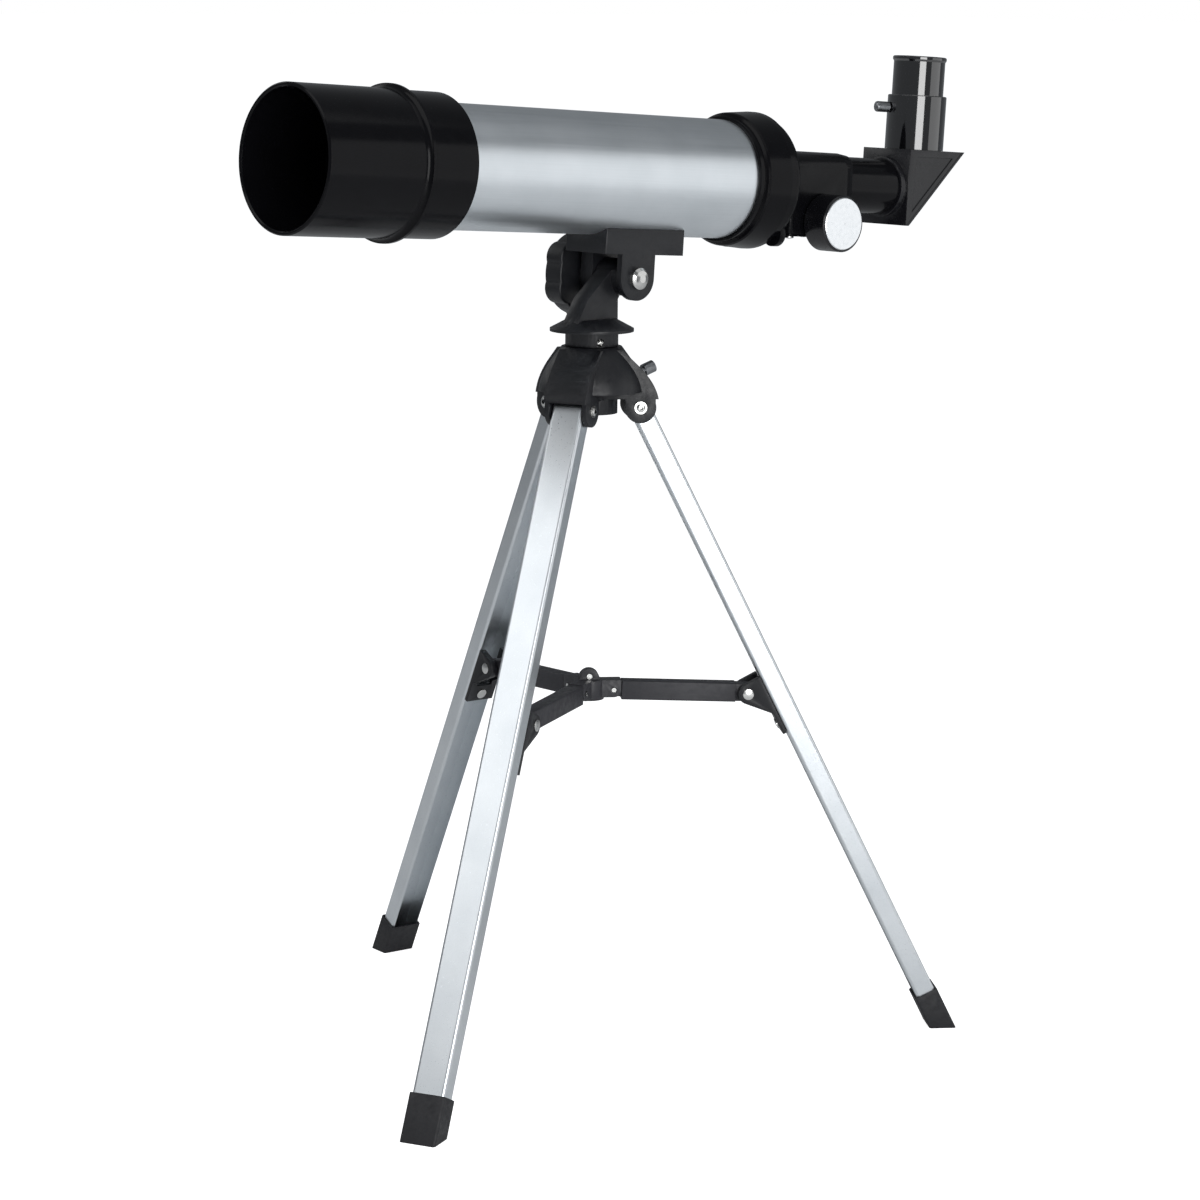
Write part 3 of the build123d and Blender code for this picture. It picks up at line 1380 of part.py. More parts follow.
def spreader_hub():
    roof = stub_top - hub_roof
    with BuildPart() as piece:
        for azimuth in leg_azimuths.values():
            with BuildSketch(spoke_plane(azimuth, -arm_half_width)):
                with Locations((spreader_pivot_radius / 2, (stub_top - stub_reach) / 2)):
                    Rectangle(spreader_pivot_radius, stub_top + stub_reach)
                with Locations((spreader_pivot_radius, 0)):
                    Circle(stub_reach)
                with Locations((spreader_pivot_radius + stub_reach / 2, stub_top / 2)):
                    Rectangle(stub_reach, stub_top)
            extrude(amount=arm_width)
        with BuildSketch(Plane.XY.offset(spreader_height - arm_half_height)):
            Circle(spreader_pivot_radius - arm_root_radius - 1.0)
        extrude(amount=arm_half_height + stub_top)
        for azimuth in leg_azimuths.values():
            with BuildSketch(spoke_plane(azimuth, -root_half_gap)):
                with Locations((spreader_pivot_radius + arm_height / 2 - arm_root_radius - face_gap,
                                roof - arm_height / 2)):
                    Rectangle(arm_height, arm_height)
            extrude(amount=2 * root_half_gap, mode=Mode.SUBTRACT)
            with BuildSketch(spoke_plane(azimuth, -arm_half_width)):
                with Locations((spreader_pivot_radius, 0)):
                    Circle(spreader_pin_radius + press_gap)
            extrude(amount=arm_width, mode=Mode.SUBTRACT)
        with BuildSketch(spoke_plane(knuckle_azimuth, -knuckle_thickness / 2)):
            with Locations((0, knuckle_rise)):
                Circle(knuckle_radius)
        extrude(amount=knuckle_thickness)
        with BuildSketch(spoke_plane(knuckle_azimuth, -knuckle_thickness / 2)):
            with Locations((0, rivet_rise)):
                Circle(hub_rivet_radius + press_gap)
        extrude(amount=knuckle_thickness, mode=Mode.SUBTRACT)
    finish(piece, "spreader_hub")
    with BuildPart() as piece:
        for start, length, radius in ((-knuckle_thickness / 2 - seat_gap, knuckle_thickness + 2 * seat_gap,
                                       hub_rivet_radius),
                                      (knuckle_thickness / 2 + seat_gap, hub_rivet_head,
                                       hub_rivet_head_radius),
                                      (-knuckle_thickness / 2 - seat_gap - hub_rivet_head, hub_rivet_head,
                                       hub_rivet_head_radius)):
            with BuildSketch(spoke_plane(knuckle_azimuth, start)):
                with Locations((0, rivet_rise)):
                    Circle(radius)
            extrude(amount=length)
    finish(piece, "spreader_rivet")
    with BuildPart() as piece:
        for azimuth in leg_azimuths.values():
            with BuildSketch(spoke_plane(azimuth, -arm_half_width - spreader_pin_proud)):
                with Locations((spreader_pivot_radius, 0)):
                    Circle(spreader_pin_radius)
            extrude(amount=arm_width + 2 * spreader_pin_proud)
    finish(piece, "spreader_pins")


# ================================================================ build every piece
dew_hood()
objective_cell()
lens_keeper()
objective()
optical_tube()
baffles()
rear_ring()
ring_screws()
focuser_body()
pinion_cover()
cover_screws()
flange_screws()
drawtube()
rack()
pinion_shaft()
focus_knob()
knob_disc_piece()
diagonal_body()
diagonal_cover()
diagonal_mirror()
diagonal_barrel()
eyepiece_sleeve()
set_screw()
eyepiece()
saddle()
saddle_screws()
altitude_bolt()
clamp_knob()
yoke()
neck_screw()
azimuth_spindle()
hub_housing()
azimuth_lock_screw()
leg_rivets()
spreader_hub()
for leg_letter, leg_azimuth in leg_azimuths.items():
    leg(leg_letter, leg_azimuth)
    foot(leg_letter, leg_azimuth)
    bracket(leg_letter, leg_azimuth)
    bracket_rivets(leg_letter, leg_azimuth)
    spreader_arm(leg_letter, leg_azimuth)
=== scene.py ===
import json
import math

import bmesh
import bpy
import numpy as np
from mathutils import Matrix, Vector


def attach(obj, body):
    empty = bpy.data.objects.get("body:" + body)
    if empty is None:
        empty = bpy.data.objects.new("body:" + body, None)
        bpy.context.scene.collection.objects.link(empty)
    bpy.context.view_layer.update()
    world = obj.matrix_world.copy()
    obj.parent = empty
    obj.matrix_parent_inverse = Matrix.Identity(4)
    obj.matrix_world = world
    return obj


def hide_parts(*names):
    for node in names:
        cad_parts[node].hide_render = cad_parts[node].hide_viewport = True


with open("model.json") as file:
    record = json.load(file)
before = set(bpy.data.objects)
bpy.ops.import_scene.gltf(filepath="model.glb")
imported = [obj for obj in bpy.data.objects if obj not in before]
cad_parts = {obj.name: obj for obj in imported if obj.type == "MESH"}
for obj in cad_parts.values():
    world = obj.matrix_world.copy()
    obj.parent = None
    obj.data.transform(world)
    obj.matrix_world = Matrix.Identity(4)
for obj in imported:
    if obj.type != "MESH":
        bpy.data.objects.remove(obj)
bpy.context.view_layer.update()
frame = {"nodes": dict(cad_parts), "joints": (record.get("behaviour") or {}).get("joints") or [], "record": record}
nodes = frame["nodes"]
joints = {j["name"]: j for j in frame["joints"]}
print("frame loaded:", len(nodes), "nodes")

mm = 0.001
tubeBack = Vector(joints["focus"]["axis"]).normalized()  # from the objective to the eyepiece
legNames = ("a", "b", "c")


# camera, light and floor
viewFrom = {"azimuth": 42.053, "distance": 1.5585, "height": 0.4946, "pitch": 10.332,
            "yaw": 0.18, "roll": 0.516, "lensMm": 101.37, "sensorMm": 36}
studio = {"background": "#ffffff", "roomTone": "#e6ebf0", "roomStrength": 0.24, "floor": "#f4f5f6",
          "floorGlow": 0.86, "floorHalfSize": 40.0, "floorRoughness": 0.9, "aimHeight": 0.3}
softboxes = {  # each faces the middle of the telescope: metres, degrees round from +X and up, and brightness
    "nearBox": {"azimuth": 248, "elevation": 8, "distance": 1.15, "width": 0.62, "height": 0.8, "bright": 5.0},
    "sideBox": {"azimuth": 312, "elevation": 7, "distance": 1.25, "width": 1.1, "height": 1.05, "bright": 0.85},
    "leftBox": {"azimuth": 172, "elevation": 43, "distance": 1.4, "width": 1.0, "height": 1.3, "bright": 1.4},
    "topBox": {"azimuth": 300, "elevation": 72, "distance": 1.3, "width": 1.0, "height": 1.0, "bright": 0.5},
    "backBox": {"azimuth": 100, "elevation": 25, "distance": 1.6, "width": 1.2, "height": 0.8, "bright": 0.7},
}


def srgb(hexCode, alpha=1.0):
    values = [int(hexCode[i:i + 2], 16) / 255 for i in (1, 3, 5)]
    return tuple(v / 12.92 if v <= 0.04045 else ((v + 0.055) / 1.055) ** 2.4 for v in values) + (alpha,)


def addNode(tree, kind, settings=None, values=None, links=None):
    node = tree.nodes.new(kind)
    for name, value in (settings or {}).items():
        setattr(node, name, value)
    for name, value in (values or {}).items():
        node.inputs[name].default_value = value
    for name, source in (links or {}).items():
        tree.links.new(source, node.inputs[name])
    return node


def makeCamera():
    v = viewFrom
    turn = Matrix.Rotation(-math.radians(v["azimuth"]), 3, "Z")
    yaw, pitch, roll = (math.radians(v[k]) for k in ("yaw", "pitch", "roll"))
    look = turn @ Vector((math.sin(yaw) * math.cos(pitch), math.cos(yaw) * math.cos(pitch), -math.sin(pitch)))
    right = turn @ Vector((math.cos(yaw), -math.sin(yaw), 0))
    up = right.cross(look)
    right, up = (right * math.cos(roll) + up * math.sin(roll), up * math.cos(roll) - right * math.sin(roll))
    data = bpy.data.cameras.new("camera")
    data.sensor_width = v["sensorMm"]
    data.lens = v["lensMm"]
    camera = bpy.data.objects.new("camera", data)
    basis = Matrix((right, up, -look)).transposed().to_4x4()
    camera.matrix_world = Matrix.Translation(turn @ Vector((0, -v["distance"], v["height"]))) @ basis
    bpy.context.scene.collection.objects.link(camera)
    bpy.context.scene.camera = camera


def softbox(name, azimuth, elevation, distance, width, height, bright):
    target = Vector((0, 0, studio["aimHeight"]))
    turn, rise = math.radians(azimuth), math.radians(elevation)
    outward = Vector((math.cos(turn) * math.cos(rise), math.sin(turn) * math.cos(rise), math.sin(rise)))
    data = bpy.data.lights.new(name, "AREA")
    data.shape = "RECTANGLE"
    data.size, data.size_y = width, height
    data.energy = bright * math.pi * width * height  # the watts that give this brightness of face
    light = bpy.data.objects.new(name, data)
    light.location = target + outward * distance
    light.rotation_euler = (-outward).to_track_quat("-Z", "Y").to_euler()
    bpy.context.scene.collection.objects.link(light)


def makeWorld():
    s = studio
    world = bpy.data.worlds.new("studio")
    bpy.context.scene.world = world
    world.use_nodes = True
    tree = world.node_tree
    tree.nodes.clear()
    rays = addNode(tree, "ShaderNodeLightPath")
    seen = addNode(tree, "ShaderNodeBackground", values={"Color": srgb(s["background"]), "Strength": 1.0})
    lit = addNode(tree, "ShaderNodeBackground",
                  values={"Color": srgb(s["roomTone"]), "Strength": s["roomStrength"]})
    mixed = addNode(tree, "ShaderNodeMixShader",
                    links={0: rays.outputs["Is Camera Ray"], 1: lit.outputs[0], 2: seen.outputs[0]})
    addNode(tree, "ShaderNodeOutputWorld", links={"Surface": mixed.outputs[0]})
    view = bpy.context.scene.view_settings
    view.view_transform = "Standard"
    view.look = "None"


def makeFloor():
    # matt white paper that runs out of sight, lit evenly enough to meet the background
    material = bpy.data.materials.new("paleFloorPaper")
    material.use_nodes = True
    tree = material.node_tree
    shader = tree.nodes["Principled BSDF"]
    shader.inputs["Base Color"].default_value = srgb(studio["floor"])
    shader.inputs["Roughness"].default_value = studio["floorRoughness"]
    rays = addNode(tree, "ShaderNodeLightPath")
    glow = addNode(tree, "ShaderNodeMath", {"operation": "MULTIPLY"}, {1: studio["floorGlow"]},
                   {0: rays.outputs["Is Camera Ray"]})
    shader.inputs["Emission Color"].default_value = srgb(studio["background"])
    tree.links.new(glow.outputs[0], shader.inputs["Emission Strength"])
    size = studio["floorHalfSize"]
    mesh = bpy.data.meshes.new("floor")
    mesh.from_pydata([(-size, -size, 0), (size, -size, 0), (size, size, 0), (-size, size, 0)], [], [(0, 1, 2, 3)])
    mesh.materials.append(material)
    floor = bpy.data.objects.new("floor", mesh)
    bpy.context.scene.collection.objects.link(floor)


makeCamera()
for boxName, settings in softboxes.items():
    softbox(boxName, **settings)
makeWorld()
makeFloor()
print("studio ready")


# materials
def startMaterial(name, colour, roughness, metallic=0.0, ior=1.5, **more):
    material = bpy.data.materials.new(name)
    material.use_nodes = True
    tree = material.node_tree
    shader = tree.nodes["Principled BSDF"]
    shader.inputs["Base Color"].default_value = srgb(colour)
    shader.inputs["Roughness"].default_value = roughness
    shader.inputs["Metallic"].default_value = metallic
    shader.inputs["IOR"].default_value = ior
    for socket, value in more.items():
        shader.inputs[socket.replace("_", " ")].default_value = value
    return material, tree, shader


def perMm(millimetres):
    return 1.0 / (millimetres * mm)  # a noise scale whose features are this far apart


def moulded(name, colours, roughness, grainMm, grainDepthMm, shine=0.5, coat=0.0, waveMm=14.0, scuffMm=3.5,
            softEdgeMm=0.25):
    # plastic from a mould: a fine grain or polish, slow tone waves, scuffs, and slightly rounded edges
    material, tree, shader = startMaterial(name, colours[0], roughness, Specular_IOR_Level=shine,
                                           Coat_Weight=coat, Coat_Roughness=roughness / 2)
    place = addNode(tree, "ShaderNodeTexCoord")
    wave = addNode(tree, "ShaderNodeTexNoise", values={"Scale": perMm(waveMm), "Detail": 2.0},
                   links={"Vector": place.outputs["Object"]})
    colour = addNode(tree, "ShaderNodeMix", {"data_type": "RGBA"},
                     {"A": srgb(colours[0]), "B": srgb(colours[1])}, {"Factor": wave.outputs["Fac"]})
    tree.links.new(colour.outputs[2], shader.inputs["Base Color"])
    scuff = addNode(tree, "ShaderNodeTexNoise", values={"Scale": perMm(scuffMm), "Detail": 5.0, "Roughness": 0.7},
                    links={"Vector": place.outputs["Object"]})
    gloss = addNode(tree, "ShaderNodeMapRange",
                    values={"From Min": 0.35, "From Max": 0.7, "To Min": roughness * 0.8, "To Max": roughness * 1.3},
                    links={"Value": scuff.outputs["Fac"]})
    tree.links.new(gloss.outputs["Result"], shader.inputs["Roughness"])
    grain = addNode(tree, "ShaderNodeTexNoise", values={"Scale": perMm(grainMm), "Detail": 3.0},
                    links={"Vector": place.outputs["Object"]})
    edge = addNode(tree, "ShaderNodeBevel", {"samples": 4}, {"Radius": softEdgeMm * mm})
    bump = addNode(tree, "ShaderNodeBump", values={"Strength": 1.0, "Distance": grainDepthMm * mm},
                   links={"Height": grain.outputs["Fac"], "Normal": edge.outputs["Normal"]})
    tree.links.new(bump.outputs["Normal"], shader.inputs["Normal"])
    return material


def anodised(name, turn, colours, roughness, streakMm, streakLengthMm, streakDepthMm=0.004, streakShare=0.6,
             cloudMm=25.0):
    # drawn aluminium, etched and clear anodised: soft sheen with fine draw lines along its length
    material, tree, shader = startMaterial(name, colours[0], roughness, metallic=1.0)
    place = addNode(tree, "ShaderNodeTexCoord")
    along = addNode(tree, "ShaderNodeMapping", links={"Vector": place.outputs["Object"]})
    along.inputs["Rotation"].default_value = turn
    stretched = addNode(tree, "ShaderNodeMapping", links={"Vector": along.outputs["Vector"]})
    stretched.inputs["Scale"].default_value = (perMm(streakLengthMm), perMm(streakMm), perMm(streakMm))
    lines = addNode(tree, "ShaderNodeTexNoise", values={"Scale": 1.0, "Detail": 4.0, "Roughness": 0.6},
                    links={"Vector": stretched.outputs["Vector"]})
    cloud = addNode(tree, "ShaderNodeTexNoise", values={"Scale": perMm(cloudMm), "Detail": 3.0},
                    links={"Vector": place.outputs["Object"]})
    blend = addNode(tree, "ShaderNodeMath", {"operation": "MULTIPLY_ADD"},
                    {1: streakShare}, {0: lines.outputs["Fac"], 2: cloud.outputs["Fac"]})
    tone = addNode(tree, "ShaderNodeMapRange",
                   values={"From Min": 0.5, "From Max": 1.1, "To Min": 0.0, "To Max": 1.0},
                   links={"Value": blend.outputs["Value"]})
    colour = addNode(tree, "ShaderNodeMix", {"data_type": "RGBA"},
                     {"A": srgb(colours[0]), "B": srgb(colours[1])}, {"Factor": tone.outputs["Result"]})
    tree.links.new(colour.outputs[2], shader.inputs["Base Color"])
    gloss = addNode(tree, "ShaderNodeMapRange",
                    values={"From Min": 0.3, "From Max": 0.7, "To Min": roughness * 0.9, "To Max": roughness * 1.12},
                    links={"Value": lines.outputs["Fac"]})
    tree.links.new(gloss.outputs["Result"], shader.inputs["Roughness"])
    bump = addNode(tree, "ShaderNodeBump", values={"Strength": 1.0, "Distance": streakDepthMm * mm},
                   links={"Height": lines.outputs["Fac"]})
    tree.links.new(bump.outputs["Normal"], shader.inputs["Normal"])
    return material


def plated(name, colours, roughness, wearMm=2.0, softEdgeMm=0.1):
    # plated steel: bright, with a little haze and fine handling marks
    material, tree, shader = startMaterial(name, colours[0], roughness, metallic=1.0)
    place = addNode(tree, "ShaderNodeTexCoord")
    haze = addNode(tree, "ShaderNodeTexNoise", values={"Scale": perMm(wearMm), "Detail": 4.0},
                   links={"Vector": place.outputs["Object"]})
    colour = addNode(tree, "ShaderNodeMix", {"data_type": "RGBA"},
                     {"A": srgb(colours[0]), "B": srgb(colours[1])}, {"Factor": haze.outputs["Fac"]})
    tree.links.new(colour.outputs[2], shader.inputs["Base Color"])
    gloss = addNode(tree, "ShaderNodeMapRange",
                    values={"From Min": 0.3, "From Max": 0.7, "To Min": roughness * 0.7, "To Max": roughness * 1.5},
                    links={"Value": haze.outputs["Fac"]})
    tree.links.new(gloss.outputs["Result"], shader.inputs["Roughness"])
    edge = addNode(tree, "ShaderNodeBevel", {"samples": 4}, {"Radius": softEdgeMm * mm})
    tree.links.new(edge.outputs["Normal"], shader.inputs["Normal"])
    return material


plastics = {
    "glossBlackAbs": {"colours": ("#08080a", "#0d0d10"), "roughness": 0.17, "grainMm": 0.9, "grainDepthMm": 0.002,
                      "shine": 0.12},
    "knobBlackAbs": {"colours": ("#111114", "#17171b"), "roughness": 0.24, "grainMm": 0.9, "grainDepthMm": 0.004,
                     "shine": 0.42},
    "polishedBlackAbs": {"colours": ("#08080a", "#0c0c0f"), "roughness": 0.07, "grainMm": 0.9,
                         "grainDepthMm": 0.0008, "shine": 1.0, "coat": 1.0},
    "satinBlackNylon": {"colours": ("#121316", "#191a1e"), "roughness": 0.4, "grainMm": 0.35, "grainDepthMm": 0.02,
                        "shine": 0.38},
    "greyBlackNylon": {"colours": ("#232327", "#2b2b30"), "roughness": 0.5, "grainMm": 0.35, "grainDepthMm": 0.02},
    "blackRubber": {"colours": ("#17171a", "#202024"), "roughness": 0.62, "grainMm": 0.5, "grainDepthMm": 0.03},
    # matt black for the real baffles and lens keeper; the rivet bores also use it as painted shade
    "matBlackInsideAndBoreShade": {"colours": ("#060606", "#0a0a0a"), "roughness": 0.75, "grainMm": 0.5, "grainDepthMm": 0.02},
}
platings = {
    "nickelPlate": {"colours": ("#d6d6d4", "#c2c2c0"), "roughness": 0.16},
    "zincPlate": {"colours": ("#8f9194", "#77797c"), "roughness": 0.34},
    "spunAluminiumDisc": {"colours": ("#f4f6f8", "#e9edf0"), "roughness": 0.22},
    "frontMirror": {"colours": ("#e8eaec", "#dcdfe2"), "roughness": 0.03},
}
tubeMetal = {"colours": ("#d3d9dd", "#e0e5e9"), "roughness": 0.36, "streakMm": 0.5, "streakLengthMm": 60.0}
legMetal = {"colours": ("#cfd4d8", "#dde1e4"), "roughness": 0.3, "streakMm": 0.8, "streakLengthMm": 0.8}
lensGlass = {"colour": "#f4f2fa", "tint": "#b9a2ff", "roughness": 0.02, "ior": 1.52, "dustMm": 4.0}


def coatedGlass():
    # lens glass with a magnesium fluoride coating, which leaves a faint violet reflection
    g = lensGlass
    material, tree, shader = startMaterial("coatedLensGlass", g["colour"], g["roughness"], ior=g["ior"],
                                           Transmission_Weight=1.0, Specular_Tint=srgb(g["tint"]))
    place = addNode(tree, "ShaderNodeTexCoord")
    dust = addNode(tree, "ShaderNodeTexNoise", values={"Scale": perMm(g["dustMm"]), "Detail": 4.0},
                   links={"Vector": place.outputs["Object"]})
    gloss = addNode(tree, "ShaderNodeMapRange",
                    values={"From Min": 0.4, "From Max": 0.8, "To Min": 0.01, "To Max": 0.05},
                    links={"Value": dust.outputs["Fac"]})
    tree.links.new(gloss.outputs["Result"], shader.inputs["Roughness"])
    return material


finishes = {name: moulded(name, **values) for name, values in plastics.items()}
finishes.update({name: plated(name, **values) for name, values in platings.items()})
finishes["coatedLensGlass"] = coatedGlass()
tubeTilt = math.atan2(-tubeBack.z, tubeBack.x)
finishes["anodisedTube"] = anodised("anodisedTube", (0, -tubeTilt, 0), **tubeMetal)
for letter in legNames:
    foldAxis = Vector(joints[f"leg_{letter}_fold"]["axis"])
    outwards = foldAxis.cross(Vector((0, 0, 1)))
    azimuth = math.atan2(outwards.y, outwards.x)
    finishes[f"anodisedLeg_{letter}"] = anodised(f"anodisedLeg_{letter}", (0, 0, -azimuth), **legMetal)
print("materials ready:", len(finishes))

nodeFinish = {
    "anodisedTube": ["optical_tube"],
    "glossBlackAbs": ["dew_hood", "objective_cell", "rear_ring", "focuser_body", "pinion_cover", "drawtube"],
    "knobBlackAbs": ["focus_knob", "diagonal_body", "diagonal_cover"],
    "polishedBlackAbs": ["eyepiece_sleeve", "eyepiece_body"],
    "satinBlackNylon": ["saddle", "altitude_clamp_knob", "yoke", "hub_housing", "focus_rack"]
    + [f"bracket_{x}" for x in legNames],
    "greyBlackNylon": ["spreader_hub"] + [f"spreader_arm_{x}" for x in legNames],
    "matBlackInsideAndBoreShade": ["lens_keeper", "front_baffle", "rear_baffle", "diagonal_barrel"],
    "blackRubber": [f"foot_{x}" for x in legNames],
    "nickelPlate": ["altitude_bolt", "leg_rivets", "rivet_washers", "ring_screws", "flange_screws", "cover_screws",
                    "neck_screw", "spreader_rivet", "spreader_pins", "eyepiece_barrel"]
    + [f"bracket_rivets_{x}" for x in legNames],
    "zincPlate": ["azimuth_spindle", "spindle_washer", "azimuth_lock_screw", "saddle_screws", "set_screw",
                  "pinion_shaft"],
    "spunAluminiumDisc": ["knob_disc"],
    "coatedLensGlass": ["crown_lens", "flint_lens", "eye_lens", "field_lens"],
    "frontMirror": ["diagonal_mirror"],
}
for x in legNames:
    nodeFinish[f"anodisedLeg_{x}"] = [f"leg_{x}"]
for finish, names in nodeFinish.items():
    for name in names:
        mesh = nodes[name].data
        mesh.materials.clear()
        mesh.materials.append(finishes[finish])
print("node finishes assigned")


# pieces made from the frame
def finishPiece(piece, body, finish, slot, *replaced):
    if finish:  # a piece that comes with its materials has none named here
        piece.data.materials.clear()
        piece.data.materials.append(finishes[finish])
    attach(piece, body)
    if replaced:
        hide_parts(*replaced)
    return piece


def plainMesh(piece):
    # the evaluated mesh with its modifiers applied, and the modifiers gone
    depsgraph = bpy.context.evaluated_depsgraph_get()
    mesh = bpy.data.meshes.new_from_object(piece.evaluated_get(depsgraph), depsgraph=depsgraph)
    piece.modifiers.clear()
    piece.data = mesh
    mesh.name = piece.name
    return piece


mending = {"joinWithinMm": 0.002, "flatWithin": 0.8}  # degrees


def mergedCopy(nodeName):
    # a CAD node's triangles with shared corners and flat faces made whole
    work = bmesh.new()
    work.from_mesh(nodes[nodeName].data)
    bmesh.ops.remove_doubles(work, verts=work.verts, dist=mending["joinWithinMm"] * mm)
    bmesh.ops.dissolve_limit(work, angle_limit=math.radians(mending["flatWithin"]), verts=work.verts,
                             edges=work.edges)
    return work


edgeRound = {  # real moulded edges, in millimetres
    "diagonal_body": 0.35, "diagonal_cover": 0.3, "saddle": 0.45, "focuser_body": 0.4, "pinion_cover": 0.35,
    "yoke": 0.4, "altitude_clamp_knob": 0.3, "hub_housing": 0.35, "spreader_hub": 0.3,
    "spreader_arm_a": 0.35, "spreader_arm_b": 0.35, "spreader_arm_c": 0.35,
    "bracket_a": 0.3, "bracket_b": 0.3, "bracket_c": 0.3, "foot_a": 0.6, "foot_b": 0.6, "foot_c": 0.6,
}
rounding = {"segments": 2, "sharperThan": 32}  # degrees
bodyOf = {node: body for body, members in frame["record"]["behaviour"]["bodies"].items() for node in members}
slotOf = {row["node"]: row["material_slot"] for row in frame["record"]["subparts"]}
finishOf = {name: finish for finish, names in nodeFinish.items() for name in names}


def softenedEdges(nodeName, roundMm):
    work = mergedCopy(nodeName)
    mesh = bpy.data.meshes.new(nodeName + "_shape")
    work.to_mesh(mesh)
    work.free()
    piece = bpy.data.objects.new(nodeName + "_shape", mesh)
    bpy.context.scene.collection.objects.link(piece)
    mesh.shade_smooth()
    bevel = piece.modifiers.new("rounded", "BEVEL")
    bevel.width = roundMm * mm
    bevel.segments = rounding["segments"]
    bevel.limit_method = "ANGLE"
    bevel.angle_limit = math.radians(rounding["sharperThan"])
    bevel.harden_normals = True
    bevel.use_clamp_overlap = True
    plainMesh(piece)
    return finishPiece(piece, bodyOf[nodeName], finishOf[nodeName], slotOf[nodeName], nodeName)


for nodeName, roundMm in edgeRound.items():
    shape = softenedEdges(nodeName, roundMm)
    print("softened", nodeName, len(shape.data.polygons))


# screws and rivets
fasteners = {  # recess sizes are shares of the head's radius
    "ring_screws": {"recess": "cross", "width": 0.2, "length": 1.25, "depth": 0.55, "ends": 1},
    "flange_screws": {"recess": "cross", "width": 0.2, "length": 1.25, "depth": 0.55, "ends": 1},
    "cover_screws": {"recess": "cross", "width": 0.2, "length": 1.25, "depth": 0.55, "ends": 1},
    "neck_screw": {"recess": "cross", "width": 0.24, "length": 1.3, "depth": 0.6, "ends": 1},
    "leg_rivets": {"recess": "bore", "width": 1.0, "length": 0.0, "depth": 2.4, "ends": 2},
    "bracket_rivets_a": {"recess": "none", "width": 0.0, "length": 0.0, "depth": 0.0, "ends": 1},
    "bracket_rivets_b": {"recess": "none", "width": 0.0, "length": 0.0, "depth": 0.0, "ends": 1},
    "bracket_rivets_c": {"recess": "none", "width": 0.0, "length": 0.0, "depth": 0.0, "ends": 1},
    "spreader_pins": {"recess": "none", "width": 0.0, "length": 0.0, "depth": 0.0, "ends": 2},
}
headMesh = {"around": 40, "rings": 6, "boreAround": 32, "shankAround": 24, "creaseOver": 30}  # degrees
domeShare = 0.38  # of a head's height
wideShare = 0.85  # of a head's radius: what is further out belongs to the head
shankShare = 0.9  # of a head's radius, at most
rollSeed = 7


def islands(nodeName):
    work = mergedCopy(nodeName)
    left = set(work.verts)
    while left:
        reached = [left.pop()]
        for vert in reached:
            near = {edge.other_vert(vert) for edge in vert.link_edges} & left
            left -= near
            reached.extend(near)
        yield reached
    work.free()


def fastenerPlaces(nodeName, ends):
    # where each head sits and the way it faces, and the sizes that they share
    places, sizes = [], {}
    for verts in islands(nodeName):
        faces = {face for vert in verts for face in vert.link_faces}
        normals = np.array([face.normal[:] for face in faces])
        areas = np.array([face.calc_area() for face in faces])
        spread, ways = np.linalg.eigh((normals * areas[:, None]).T @ normals)
        axis = ways[:, 0] if spread[1] - spread[0] > spread[2] - spread[1] else ways[:, 2]
        points = np.array([vert.co[:] for vert in verts])
        middle = (points.max(0) + points.min(0)) / 2
        along = (points - middle) @ axis
        middle += axis * (along.max() + along.min()) / 2
        along = (points - middle) @ axis
        across = np.linalg.norm(points - middle - np.outer(along, axis), axis=1)
        radius = across.max()
        wide = along[across > wideShare * radius]
        outward = np.sign(wide.mean() if abs(wide.mean()) > 0.05 * along.max() else middle @ axis)
        for way in ((outward, -outward) if ends == 2 else (outward,)):
            top = along.max()
            seat = (way * wide)[way * wide > (0 if ends == 2 else -top)].min()
            shank = across[way * along < seat - 1e-5]
            places.append((middle + axis * way * seat, axis * way))
            sizes = {"Head Radius": radius, "Head Height": top - seat,
                     "Shank Radius": min(shank.max(initial=0.0) or radius, shankShare * radius),
                     "Reach": max(seat if ends == 2 else seat + top, 1e-4)}
    return places, sizes


